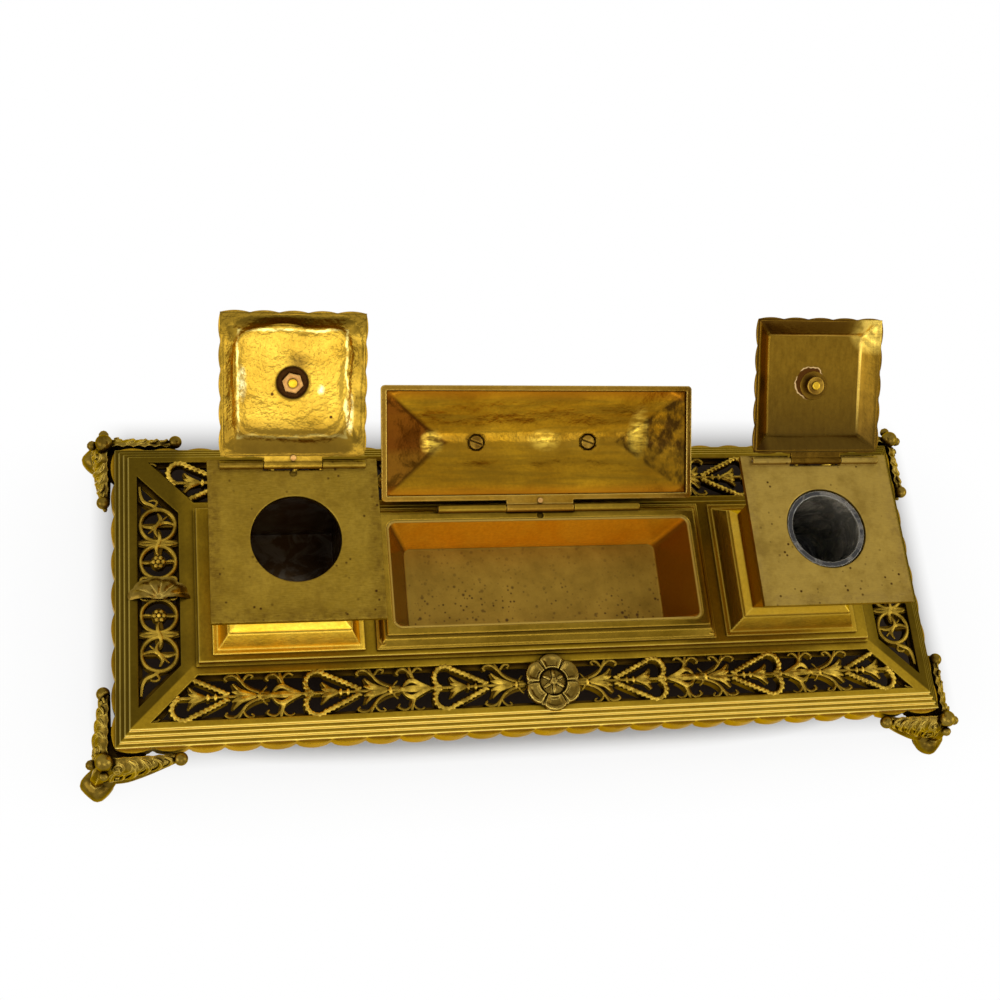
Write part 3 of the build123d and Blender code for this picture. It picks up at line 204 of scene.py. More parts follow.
class Reading:
    """A number or a place that a node reads off the surface. Sums with it are written plainly."""

    def __init__(self, socket):
        self.socket = socket

    def node(self, kind, settings, inputs, output=0):
        return Reading(added(self.socket.id_data, kind, settings, inputs).outputs[output])

    def reckon(self, operation, other=0.0, clamp=False):
        return self.node("Math", {"operation": operation, "use_clamp": clamp}, {0: self, 1: other})

    __add__ = partialmethod(reckon, "ADD")
    __sub__ = partialmethod(reckon, "SUBTRACT")
    __mul__ = partialmethod(reckon, "MULTIPLY")
    __truediv__ = partialmethod(reckon, "DIVIDE")
    __abs__ = partialmethod(reckon, "ABSOLUTE")
    __lt__ = partialmethod(reckon, "LESS_THAN")
    __gt__ = partialmethod(reckon, "GREATER_THAN")
    most = partialmethod(reckon, "MAXIMUM")

    def __rsub__(self, other):
        return self.node("Math", {"operation": "SUBTRACT"}, {0: other, 1: self})

    def spread(self, low, high, to_low=0.0, to_high=1.0):
        """Stretch from one range to another, and stop at the ends."""
        return self.node("MapRange", {}, {0: self, 1: low, 2: high, 3: to_low, 4: to_high})

    def values(self, first, second):
        """From the first value to the second, as this share rises."""
        return self.node("Mix", {"data_type": "FLOAT"}, {0: self, 2: first, 3: second})

    def colours(self, first, second):
        """From the first colour to the second, as this share rises."""
        return self.node("Mix", {"data_type": "RGBA"}, {0: self, 6: first, 7: second}, 2)

    def parts(self):
        return [Reading(part) for part in added(self.socket.id_data, "SeparateXYZ", {}, {0: self}).outputs]

    def distance(self, point):
        return self.node("VectorMath", {"operation": "DISTANCE"}, {0: self, 1: point}, "Value")

    def noise(self, scale, detail=4.0, roughness=0.55, distortion=0.0):
        inputs = {"Scale": scale, "Detail": detail, "Roughness": roughness, "Distortion": distortion}
        return self.node("TexNoise", {}, {"Vector": self, **inputs}, "Fac")

    def cells(self, scale):
        return self.node("TexVoronoi", {"feature": "F1"}, {"Vector": self, "Scale": scale}, "Distance")


def place_of(tree, turn=(0, 0, 0), scale=(1, 1, 1), shift=(0, 0, 0), kind="Object"):
    """Object coordinates, scaled, turned and moved."""
    source = tree.nodes.new("ShaderNodeTexCoord").outputs[kind]
    inputs = {"Vector": source, "Location": shift, "Rotation": turn, "Scale": scale}
    return Reading(added(tree, "Mapping", {}, inputs).outputs["Vector"])


def flat_place(tree, scale=(1, 1, 1), shift=(0, 0, 0)):
    """The piece's own flat map, from 0 to 1 each way, scaled and then moved."""
    return place_of(tree, scale=scale, shift=shift, kind="UV")


def facing_of(tree):
    """The three parts of the direction in which a face looks."""
    return Reading(tree.nodes.new("ShaderNodeNewGeometry").outputs["Normal"]).parts()


def seen_share(tree):
    """1 where the surface is seen by the camera, in metal or through glass, and 0 where it lights."""
    path = tree.nodes.new("ShaderNodeLightPath").outputs
    return Reading(path["Is Camera Ray"]).most(path["Is Glossy Ray"]).most(path["Is Transmission Ray"])


def new_material(name):
    """A material with its Principled BSDF."""
    material = bpy.data.materials.new(name)
    material.use_nodes = True
    tree = material.node_tree
    tree.nodes.clear()
    shader = tree.nodes.new("ShaderNodeBsdfPrincipled")
    put(tree.nodes.new("ShaderNodeOutputMaterial").inputs["Surface"], shader.outputs["BSDF"])
    return material, tree, shader


WORN_INPUTS = (
    ("Bright", "NodeSocketColor", (0.8, 0.5, 0.05, 1)),
    ("Dull", "NodeSocketColor", (0.2, 0.12, 0.01, 1)),
    ("Patina", "NodeSocketColor", (0.02, 0.01, 0.002, 1)),
    ("Patch Scale", "NodeSocketFloat", 35.0),
    ("Patches", "NodeSocketFloat", 0.5),
    ("Hollows", "NodeSocketFloat", 0.85),
    ("Edges", "NodeSocketFloat", 0.7),
    ("Roughness", "NodeSocketFloat", 0.28),
    ("Reach", "NodeSocketFloat", 0.004),
)
WORN_OUTPUTS = (
    ("Color", "NodeSocketColor"), ("Roughness", "NodeSocketFloat"),
    ("Height", "NodeSocketFloat"), ("Normal", "NodeSocketVector"),
)


def worn_brass():
    """Node group: cast brass with dull patches, dark patina in the hollows that also paints shade there, and
    rubbed edges that also carry a painted highlight.
    """
    found = bpy.data.node_groups.get("Worn Brass")
    if found:
        return found
    group = bpy.data.node_groups.new("Worn Brass", "ShaderNodeTree")
    for label, kind, default in WORN_INPUTS:
        group.interface.new_socket(name=label, in_out="INPUT", socket_type=kind).default_value = default
    for label, kind in WORN_OUTPUTS:
        group.interface.new_socket(name=label, in_out="OUTPUT", socket_type=kind)
    given = group.nodes.new("NodeGroupInput").outputs
    result = group.nodes.new("NodeGroupOutput").inputs
    place = place_of(group)

    # how enclosed a place is: dark patina in the hollows, which also paints shade there and under parts
    hollow = added(group, "AmbientOcclusion", {"samples": 8}, {"Distance": given["Reach"]})
    open_share = Reading(hollow.outputs["AO"])
    hollow_share = open_share.spread(0.95, 0.38)
    # rubbed edges, which are also brightened as a painted highlight along them
    rounded = added(group, "Bevel", {"samples": 4}, {"Radius": EDGE_RADIUS * MM}).outputs["Normal"]
    surface = group.nodes.new("ShaderNodeNewGeometry").outputs["Normal"]
    agree = added(group, "VectorMath", {"operation": "DOT_PRODUCT"}, {0: rounded, 1: surface})
    edge_share = Reading(agree.outputs["Value"]).spread(0.995, 0.86) * open_share.spread(0.6, 0.85)

    patch = place.noise(given["Patch Scale"], 5, 0.62, 0.4).spread(0.36, 0.68)
    fine = place.noise(850, 3, 0.6)
    bright_share = patch.reckon("MULTIPLY", given["Patches"], clamp=True)
    colour = bright_share.colours(given["Dull"], given["Bright"])
    speckle = fine.spread(0.35, 0.65, 0.88, 1.08)
    shade = added(group, "VectorMath", {"operation": "SCALE"}, {0: colour, "Scale": speckle})
    colour = (hollow_share * given["Hollows"]).colours(shade.outputs[0], given["Patina"])
    colour = edge_share.reckon("MULTIPLY", given["Edges"], clamp=True).colours(colour, given["Bright"])
    rough = Reading(given["Roughness"]) + hollow_share * 0.25
    put(result["Color"], colour)
    put(result["Roughness"], rough.reckon("SUBTRACT", bright_share * 0.06, clamp=True))
    put(result["Height"], fine * 0.35 + patch * 0.65)
    put(result["Normal"], rounded)
    return group


# ---- the finishes of this inkstand ----------------------------------------------------------
# Bright and dull brass, then the size and strength of the patches, the strength of the hollows and
# edges, roughness, reach of the hollows and strength of the relief. A word names a property.
COAT_LABELS = ("Bright", "Dull", "Patch Scale", "Patches", "Hollows", "Edges", "Roughness", "Reach")
COATS = {
    "deck_brass": ((224, 184, 62), "olive", 18, 0.2, 0.85, 0.4, 0.3, 0.003, 0.25),
    "skirt_brass": ("gold", (140, 104, 16), 60, 0.6, 0.8, 0.9, 0.3, 0.003, 0.25),
    "foot_brass": ((236, 200, 88), (84, 63, 14), 120, 0.2, 1.0, 0.85, 0.22, 0.006, 0.4),
    "fret_brass_ground": ((120, 90, 20), (72, 52, 10), 90, 0.5, 0.95, 0.4, 0.36, 0.003, 0.25),
    "ornament_brass_rubbed": ((184, 148, 50), (90, 68, 14), 160, 0.4, 1.0, 0.5, 0.22, 0.003, 0.3),
    "flower_brass": ((232, 198, 98), (88, 66, 16), 150, 0.2, 1.0, 0.9, 0.22, 0.003, 0.3),
    "well_brass": ((252, 214, 84), (236, 186, 44), 50, 0.55, 0.8, 1.0, "polish", 0.004, 0.25),
    "box_brass_worn": ((210, 170, 60), (112, 86, 18), 30, 0.3, 0.85, 0.8, "polish", 0.004, 0.25),
    "plate_brass": ((156, 126, 42), (124, 97, 24), 60, 0.6, 0.5, 0.9, 0.33, 0.003, 0.25),
    "tray_brass_amber": ((250, 184, 40), "amber", 40, 0.6, 0.4, 0.2, 0.24, 0.004, 0.25),
    "left_lid_brass": ((206, 164, 56), (116, 88, 20), 90, 0.6, 0.85, 0.5, 0.26, 0.003, 0.5),
    "right_lid_brass": ((156, 116, 34), (70, 48, 10), 90, 0.5, 0.85, 0.5, 0.28, 0.003, 0.4),
    "stamp_lid_brass": ((232, 196, 96), (132, 96, 24), 50, 0.15, 0.8, 0.8, 0.26, 0.004, 0.4),
    "left_lid_pan_brass": ((204, 166, 58), (158, 120, 32), 55, 0.9, 0.7, 0.3, 0.24, 0.003, 0.5),
    "right_lid_pan_brass": ((134, 100, 26), (104, 76, 18), 60, 0.6, 0.7, 0.3, 0.26, 0.003, 0.3),
    "stamp_pan_brass": ((190, 142, 26), (140, 96, 12), 30, 0.8, 0.6, 0.4, 0.22, 0.005, 0.6),
    "turned_brass": ("gilt", "gold", 80, 0.7, 0.9, 0.8, 0.22, 0.003, 0.25),
    "fixing_brass_dark": ((214, 170, 64), (100, 70, 20), 220, 0.5, 0.95, 0.9, 0.34, 0.002, 0.25),
    "copper_worn": ((216, 172, 100), "copper", 240, 0.6, 0.95, 0.9, 0.3, 0.002, 0.25),
    "pin_steel_dull": ((176, 160, 130), (98, 84, 62), 260, 0.7, 0.9, 0.6, 0.34, 0.002, 0.25),
}


class Coat:
    """A finish of worn brass, whose colour is laid on layer by layer."""

    def __init__(self, name):
        *values, relief = COATS[name]
        self.material, self.tree, self.shader = new_material(name)
        worn = self.tree.nodes.new("ShaderNodeGroup")
        worn.node_tree = worn_brass()
        self.worn = worn.outputs
        put(worn.inputs["Patina"], brass().patina)
        for label, value in zip(COAT_LABELS, values):
            put(worn.inputs[label], getattr(brass(), value) if isinstance(value, str) else value)
        self.raised = added(self.tree, "Bump", {}, {
            "Strength": relief, "Distance": RELIEF_DEPTH * MM,
            "Height": self.worn["Height"], "Normal": self.worn["Normal"],
        })
        put(self.shader.inputs["Normal"], self.raised.outputs["Normal"])
        put(self.shader.inputs["Roughness"], self.worn["Roughness"])
        self.shader.inputs["Metallic"].default_value = 1.0
        self.shader.inputs["Specular Tint"].default_value = (0.95, 0.72, 0.28, 1)
        self.colour = self.worn["Color"]

    def over(self, share, shade):
        """Lay a colour over the finish where the share is high."""
        self.colour = share.colours(self.colour, shade)

    def glints(self, flat, shade, spots):
        """Lay on ragged painted highlights: the place on the flat map, and how narrow each is both ways."""
        for x, y, wide, tall in spots:
            near = flat_place(self.tree, (wide, tall, 0), (-x * wide, -y * tall, 0))
            ragged = flat.noise(22, 4, 0.6).spread(0.4, 0.6, 0.15, 1.0)
            self.over(near.distance((0, 0, 0)).spread(1.0, 0.1) * ragged, shade)


def deck_detail(coat):
    """Olive flats with painted shade towards the ends and the rear, and painted highlights on the reeds."""
    place = place_of(coat.tree)
    across, along = place.parts()[:2]
    side_out = abs(across) - HALF_LENGTH * MM
    front_out = along * -1.0 - HALF_WIDTH * MM
    aside = (side_out - front_out).spread(-0.0002, 0.0006)
    # painted shade, darker towards the ends and the rear
    painted_shade = (side_out.spread(-0.028, -0.016, 0.0, 0.8) * aside).most(along.spread(-0.03, 0.05, 0.0, 0.4))
    coat.over(place.noise(60, 5, 0.65).spread(0.46, 0.64, 0.0, 0.3), (84, 62, 10))
    coat.over(painted_shade, (50, 38, 6))
    # painted highlights: thin bright lines on the top edges of the reeds, and a sheen on faces that slant
    reeds = side_out.most(abs(along) - HALF_WIDTH * MM) / (REED_WIDTH * MM)
    line = reeds.reckon("PINGPONG", 0.5).spread(0.2, 0.08) * reeds.spread(-0.35, -0.2)
    lean = abs(abs(facing_of(coat.tree)[2]) - 0.6).spread(0.38, 0.12)
    coat.over(line.most(lean * 0.4) * painted_shade.spread(0.0, 0.62, 1.0, 0.3), (252, 222, 112))


def ornament_detail(coat):
    """Bright tops: rubbed, and with a painted highlight."""
    place = place_of(coat.tree)
    # painted highlight on the highest parts of the relief, which also stands for their rubbing
    tops = place.parts()[2].spread(0.0357, 0.0362)
    coat.over(tops * place.noise(240, 3).spread(0.4, 0.6, 0.1, 0.85), (230, 190, 72))


def well_detail(coat):
    """Bright mouldings outside, duller on the right. Dark patina inside that also paints the wells' shade,
    with grey streaks of painted reflection.
    """
    place = place_of(coat.tree)
    across, along, up = place.parts()
    # dark patina inside the wells, which also paints their shade
    inside = (abs(abs(across) - WELL_X * MM).most(abs(along)) < 0.0172) * (up > 0.0415)
    right = across > 0.0
    coat.over(right * 0.62, (104, 76, 14))
    # painted reflections: grey streaks inside, faint in the left well
    streaks = place.noise(110, 3, 0.6, 1.6).spread(0.47, 0.6) * right.values(0.12, 1.0)
    coat.over(inside, streaks.colours((56, 36, 20), (176, 178, 168)))
    put(coat.shader.inputs["Metallic"], (inside * up.spread(0.083, 0.08)).values(1.0, 0.6))


def plate_detail(coat):
    """Brushed olive gold with dark specks, browned outside the place where the lid shuts."""
    place = place_of(coat.tree)
    across, along = place.parts()[:2]
    away = abs(abs(across) - WELL_X * MM).most(abs(along))
    away = away + (place.noise(260, 5, 0.7) - 0.5) * 0.007
    spots = place.noise(480, 3, 0.6).spread(0.42, 0.66, 0.15, 0.8)
    coat.over(away.spread(0.0238, 0.0262) * spots, (84, 58, 14))
    brushed = place_of(coat.tree, turn=(0, 0, 0.5), scale=(1, 14, 1)).noise(320, 3, 0.6)
    coat.over(brushed.spread(0.4, 0.62, 0.0, 0.26), (172, 142, 56))
    coat.over((across > 0.0) * 0.4, (176, 148, 78))
    coat.over(place.noise(95, 5, 0.65).spread(0.46, 0.64, 0.0, 0.4), (100, 74, 18))
    few = place.noise(75, 2).spread(0.5, 0.6)
    coat.over(place.cells(340).spread(0.2, 0.1) * few, (62, 38, 12))


def tray_detail(coat):
    """Amber walls with painted shade on the end walls, and a duller floor with dark specks."""
    place = place_of(coat.tree)
    across, along, up = place.parts()
    # painted shade on the end walls, which face sideways, darker at the left end
    ends = (across < 0.0).colours((92, 52, 3), (68, 38, 2))
    coat.over(abs(facing_of(coat.tree)[0]).spread(0.35, 0.75, 0.0, 0.92), ends)
    coat.over(up.spread(0.0447, 0.0451), (168, 136, 56))
    ground = place.noise(70, 6, 0.7).spread(0.35, 0.68).colours((126, 98, 28), (158, 126, 44))
    few = place.noise(60, 2).spread(0.36, 0.52, 0.2, 1.0) * along.spread(0.006, -0.004, 0.4, 1.0)
    for scale, size in ((260, 0.22), (520, 0.26), (130, 0.09)):
        ground = (place.cells(scale).spread(size, size * 0.5) * few).colours(ground, (62, 36, 10))
    floor = up.spread(0.0268, 0.0262)
    coat.over(floor, ground)
    coat.shader.inputs["Metallic"].default_value = 0.5
    put(coat.shader.inputs["Roughness"], floor.values(coat.worn["Roughness"], 0.42))


def left_pan_detail(coat):
    """Beaten bright gold round a dark ring, with browned borders, a painted highlight along a wandering
    ridge, painted glints and a painted shadow above the ring.
    """
    flat = flat_place(coat.tree)
    across, along = flat.parts()[:2]
    coat.over(flat.noise(2.2, 3, 0.5).spread(0.42, 0.66) * 0.5, (168, 128, 30))
    beside = abs(across - 0.5)
    wander = (flat.noise(5, 3) - 0.5) * 0.1
    ragged = beside.most(abs(along - 0.5)) + wander
    blotch = flat.noise(7, 4, 0.6).spread(0.38, 0.62, 0.35, 0.95)
    darker = blotch.most(along.spread(0.8, 0.92, 0.0, 0.95)) * ragged.spread(0.38, 0.43)
    coat.over(darker, (98, 76, 20))
    # painted highlight along a wandering ridge
    ridge = abs(ragged - 0.375).spread(0.013, 0.004) * flat.noise(8, 2).spread(0.38, 0.55, 0.1, 0.9)
    coat.over(ridge, (255, 236, 140))
    coat.over(along.spread(0.27, 0.15) * beside.spread(0.46, 0.34, 0.2, 0.8), (116, 88, 26))
    # painted glints
    coat.glints(flat, (255, 244, 176), ((0.15, 0.5, 26, 7), (0.7, 0.45, 30, 22), (0.9, 0.3, 34, 6)))
    # painted shadow above the dark ring
    coat.over(flat.distance((0.54, 0.64, 0)).spread(0.1, 0.02) * 0.7, (96, 70, 26))
    dark = (flat.distance((0.5, 0.5, 0)) + wander * 0.2).spread(0.122, 0.112)
    coat.over(dark, (46, 26, 8))
    for hole in ((0.36, 0.42, 0), (0.77, 0.26, 0)):
        coat.over(flat.distance(hole).spread(0.014, 0.008), (70, 46, 12))
    put(coat.raised.inputs["Height"], place_of(coat.tree).noise(620, 2) + coat.worn["Height"])


def right_pan_detail(coat):
    """Brushed olive gold, darker towards the hinge, with painted shade on the left and painted highlights on
    a corner, the lip, the right ridge and the collar's rim.
    """
    flat = flat_place(coat.tree)
    across, along = flat.parts()[:2]
    brushed = flat_place(coat.tree, (12, 3, 1)).noise(3.0, 5, 0.65)
    coat.over(brushed.spread(0.38, 0.66, 0.0, 0.4), (140, 108, 32))
    coat.over(along.spread(0.66, 0.1, 0.0, 0.7), (58, 42, 16))
    # painted shade along the left edge
    coat.over(across.spread(0.13, 0.08, 0.0, 0.85), (48, 28, 6))
    # painted highlight along the lip
    lip = abs(along - 0.882).spread(0.01, 0.003, 0.0, 0.7)
    coat.over(lip * across.spread(0.1, 0.3), (196, 156, 64))
    reach = flat.distance((0.47, 0.52, 0)) + flat.noise(14, 2) * 0.06
    coat.over(reach.spread(0.147, 0.138, 0.0, 0.85), (70, 34, 12))
    # painted glint round the rim of the dark collar
    collar_glint = abs(reach - 0.148).spread(0.007, 0.002) * flat.noise(9, 2).spread(0.45, 0.58, 0.0, 0.9)
    coat.over(collar_glint, (220, 184, 130))
    # painted highlight in the far right corner
    corner = flat.distance((0.96, 0.93, 0)).spread(0.2, 0.06, 0.0, 0.95)
    coat.over(corner * flat.noise(11, 4, 0.6).spread(0.36, 0.56, 0.3, 1.0), (250, 214, 96))
    # painted highlight along the right ridge
    line = abs(across - 0.872).spread(0.012, 0.004, 0.0, 0.8)
    coat.over(line * along.spread(0.12, 0.4), (222, 184, 84))
    coat.over(along.spread(0.885, 0.91, 0.0, 0.8) * across.spread(0.85, 0.7), (70, 44, 10))


def stamp_pan_detail(coat):
    """Amber gold, streaked along its length, with brown ends, dark rings round the screws, a painted sheen on
    the ridge and painted glints.
    """
    tree = coat.tree
    flat = flat_place(tree)
    across, along = flat.parts()[:2]
    streak = flat_place(tree, (3, 11, 1)).noise(1.4, 5, 0.6, 0.5).spread(0.4, 0.64)
    coat.over(streak * 0.55, (112, 84, 18))
    crown = abs(along - 0.5)
    # painted sheen along the middle ridge
    shine = crown.spread(0.17, 0.04) * flat_place(tree, (6, 3, 1)).noise(1.7, 3).spread(0.42, 0.6)
    coat.over(shine * 0.25, (190, 150, 48))
    coat.over(crown.spread(0.11, 0.04, 0.0, 0.42), (104, 76, 20))
    hip = (abs(across - 0.5) - 0.5) * 2.35 + (0.5 - crown)
    end = hip.spread(-0.02, 0.02)
    left = across.spread(0.4, 0.6, 1.0, 0.0)
    blotch = flat_place(tree, (16, 3, 1)).noise(1.6, 4, 0.6).spread(0.44, 0.6, 0.95, 0.1)
    coat.over(end * left * 0.94, (66, 30, 4))
    coat.over(end * (1.0 - left) * blotch, (54, 34, 8))
    # painted glints
    coat.glints(flat, (236, 196, 72), ((0.16, 0.5, 22, 7), (0.86, 0.6, 26, 3.4), (0.54, 0.52, 16, 8)))
    long, wide = STAMP_PAN
    for screw in (-STAMP_SCREW_X, STAMP_SCREW_X):
        seat = flat_place(tree, (long, wide, 0), (-long / 2 - screw, -wide / 2, 0))
        coat.over(seat.distance((0, 0, 0)).spread(3.5, 3.1), (52, 30, 8))
    coat.over(crown.spread(0.4, 0.49, 0.0, 0.55), (170, 98, 14))
    coat.over(along.spread(0.46, 0.38, 0.0, 0.35) * along.spread(0.04, 0.14), (92, 68, 16))


DETAILS = {
    "deck_brass": deck_detail, "ornament_brass_rubbed": ornament_detail, "well_brass": well_detail,
    "plate_brass": plate_detail, "tray_brass_amber": tray_detail, "left_lid_pan_brass": left_pan_detail,
    "right_lid_pan_brass": right_pan_detail, "stamp_pan_brass": stamp_pan_detail,
}


def coat_of(name):
    """The finish of that name, made when it is first asked for."""
    found = bpy.data.materials.get(name)
    if found:
        return found
    if name == "clear_glass":
        return stained_glass(name)
    coat = Coat(name)
    if name in DETAILS:
        DETAILS[name](coat)
    put(coat.shader.inputs["Base Color"], coat.colour)
    return coat.material


def stained_glass(name):
    """Glass with a brownish stain, milky in streaks that are also painted reflections, and with painted
    highlights on the lines of its rim.
    """
    material, tree, shader = new_material(name)
    place = place_of(tree, shift=(-WELL_X * MM, 0, 0))
    across, along = place.parts()[:2]
    # brownish stain; its milky streaks are also painted reflections
    stain = place.noise(62, 3, 0.55, 2.4)
    colour = stain.spread(0.5, 0.58).colours((58, 50, 42), (228, 216, 196))
    wide = (across * across + along * along).reckon("SQRT")
    # painted highlights: two bright lines on the rim
    for radius in (0.0128, 0.0145):
        colour = abs(wide - radius).spread(0.0003, 0.0001).colours(colour, (255, 246, 220))
    put(shader.inputs["Base Color"], colour)
    put(shader.inputs["Roughness"], stain.spread(0.35, 0.7, 0.02, 0.12))
    shader.inputs["Transmission Weight"].default_value = 0.86
    shader.inputs["Metallic"].default_value = 0.0
    shader.inputs["IOR"].default_value = 1.5
    return material


# ---- mesh helpers ------------------------------------------------------------------------
def only(*pieces):
    """Select just these pieces, with the first one active."""
    bpy.ops.object.select_all(action="DESELECT")
    for piece in pieces:
        piece.select_set(True)
    bpy.context.view_layer.objects.active = pieces[0]


def joined(pieces, name):
    only(*pieces)
    if len(pieces) > 1:
        bpy.ops.object.join()
    piece = bpy.context.view_layer.objects.active
    piece.name = name
    return piece


def copied(piece, matrix, name="copy"):
    """Copy of a piece with its own mesh, moved or mirrored."""
    twin = bpy.data.objects.new(name, piece.data.copy())
    bpy.context.scene.collection.objects.link(twin)
    twin.data.transform(matrix)
    if matrix.determinant() < 0:
        twin.data.flip_normals()
    return twin


def removed(piece):
    bpy.data.objects.remove(piece)


def shift(x, y, z=0.0):
    return Matrix.Translation(Vector((x, y, z)) * MM)


def flip(x, y):
    return Matrix.Diagonal((x, y, 1, 1))


def finished(piece, name, coat, body="root"):
    """Name a piece, give it its coat, and let it ride on its body."""
    only(piece)
    bpy.ops.object.transform_apply(location=True, rotation=True, scale=True)
    bpy.ops.object.shade_smooth_by_angle(angle=math.radians(40))
    piece.name = name
    piece.data.materials.clear()
    piece.data.materials.append(coat_of(coat))
    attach(piece, body)
    return piece


def dressed(coat, *nodes):
    """Give CAD nodes their coat."""
    for node in nodes:
        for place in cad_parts[node].material_slots:
            place.material = coat_of(coat)


def strokes(rows, name="strokes"):
    """Rods along smooth lines. A row is its points and its radius at each, in millimetres."""
    curve = bpy.data.curves.new(name, "CURVE")
    curve.dimensions = "3D"
    curve.bevel_depth = MM
    curve.bevel_resolution = 1
    curve.use_fill_caps = True
    curve.resolution_u = 3
    for points, radii in rows:
        spline = curve.splines.new("NURBS")
        spline.points.add(len(points) - 1)
        for point, place, radius in zip(spline.points, points, radii):
            point.co = (*(value * MM for value in place), 1.0)
            point.radius = radius
        spline.order_u = min(3, len(points))
        spline.use_endpoint_u = True
    piece = bpy.data.objects.new(name, curve)
    bpy.context.scene.collection.objects.link(piece)
    only(piece)
    bpy.ops.object.convert(target="MESH")
    return bpy.context.view_layer.objects.active


def flat_strokes(rows, level, name="strokes"):
    """Strokes whose points all lie on one level."""
    return strokes([([(x, y, level) for x, y in points], radii) for points, radii in rows], name)


def fresh(primitive, **settings):
    """A primitive with its place and turn in its mesh, selected alone."""
    bpy.ops.object.select_all(action="DESELECT")
    getattr(bpy.ops.mesh, f"primitive_{primitive}_add")(**settings)
    bpy.ops.object.transform_apply(location=True, rotation=True, scale=True)
    return bpy.context.view_layer.objects.active


def ball(x, y, z, radius, flat=1.0, turn=0.0, narrow=1.0, segments=10, rings=6):
    """Ball, which may be flattened, narrowed and turned about the vertical."""
    return fresh(
        "uv_sphere", segments=segments, ring_count=rings, radius=radius * MM,
        location=(x * MM, y * MM, z * MM), rotation=(0, 0, turn), scale=(narrow, 1, flat),
    )


def ring(x, y, z, radius, thick):
    return fresh(
        "torus", major_segments=28, minor_segments=8, major_radius=radius * MM, minor_radius=thick * MM,
        location=(x * MM, y * MM, z * MM),
    )


def sculpted(columns, rows, place, name="surface"):
    """Grid whose vertices go where place(u, v) puts them, in millimetres."""
    piece = fresh("grid", x_subdivisions=columns, y_subdivisions=rows, size=1)
    for vertex in piece.data.vertices:
        vertex.co = Vector(place(vertex.co.x + 0.5, vertex.co.y + 0.5)) * MM
    bpy.ops.object.mode_set(mode="EDIT")
    bpy.ops.mesh.select_all(action="SELECT")
    bpy.ops.mesh.remove_doubles(threshold=1e-6)
    bpy.ops.mesh.normals_make_consistent(inside=False)
    bpy.ops.object.mode_set(mode="OBJECT")
    piece.name = name
    return piece


def turned(profile, name="turned", steps=32):
    """Solid turned about the vertical through the origin. The profile runs from axis to axis."""
    def place(u, v):
        index = min(int(v * (len(profile) - 1) + 0.5), len(profile) - 1)
        radius, height = profile[index]
        angle = 2 * math.pi * u
        return (radius * math.cos(angle), radius * math.sin(angle), height)
    return sculpted(steps, len(profile) - 1, place, name)


def thickened(piece, thick):
    """Give an open sheet a thickness, half to each side."""
    only(piece)
    wall = piece.modifiers.new("wall", "SOLIDIFY")
    wall.thickness = thick * MM
    wall.offset = 0
    bpy.ops.object.modifier_apply(modifier=wall.name)
    return piece


def between(value, steps):
    """Value read from a row of (place, level) steps, straight between them."""
    for (low, first), (high, second) in zip(steps, steps[1:]):
        if value <= high:
            return first + (second - first) * max(0.0, value - low) / (high - low)
    return steps[-1][1]


def lid_matrix(x, y, z, angle):
    """From a lid's own frame to its open place. Its Z is its outside; its -Y leaves the hinge."""
    lean = math.radians(angle)
    side, out = Vector((1, 0, 0)), Vector((0, math.sin(lean), math.cos(lean)))
    turn = Matrix((side, out.cross(side), out)).transposed().to_4x4()
    return Matrix.Translation(Vector((x, y, z)) * MM) @ turn


def trimmed(piece, point, outward):
    """Cut off what lies beyond a plane, and close the cut."""
    only(piece)
    bpy.ops.object.mode_set(mode="EDIT")
    bpy.ops.mesh.select_all(action="SELECT")
    bpy.ops.mesh.bisect(
        plane_co=Vector(point) * MM, plane_no=Vector(outward).normalized(), use_fill=True, clear_outer=True,
    )
    bpy.ops.object.mode_set(mode="OBJECT")
    return piece


def arc_steps(first, middle, last, step):
    """Points and directions at even steps along the arc through three points."""
    ax, ay = first
    bx, by = middle
    cx, cy = last
    twice = 2 * (ax * (by - cy) + bx * (cy - ay) + cx * (ay - by))
    ux = ((ax**2 + ay**2) * (by - cy) + (bx**2 + by**2) * (cy - ay) + (cx**2 + cy**2) * (ay - by)) / twice
    uy = ((ax**2 + ay**2) * (cx - bx) + (bx**2 + by**2) * (ax - cx) + (cx**2 + cy**2) * (bx - ax)) / twice
    radius = math.hypot(ax - ux, ay - uy)
    start, mid, end = (math.atan2(y - uy, x - ux) for x, y in (first, middle, last))
    swing = (end - start) % (2 * math.pi)
    if (mid - start) % (2 * math.pi) > swing:
        swing -= 2 * math.pi
    count = max(2, round(abs(swing) * radius / step))
    for index in range(count + 1):
        angle = start + swing * index / count
        yield (
            ux + radius * math.cos(angle), uy + radius * math.sin(angle),
            angle + math.copysign(math.pi / 2, swing),
        )


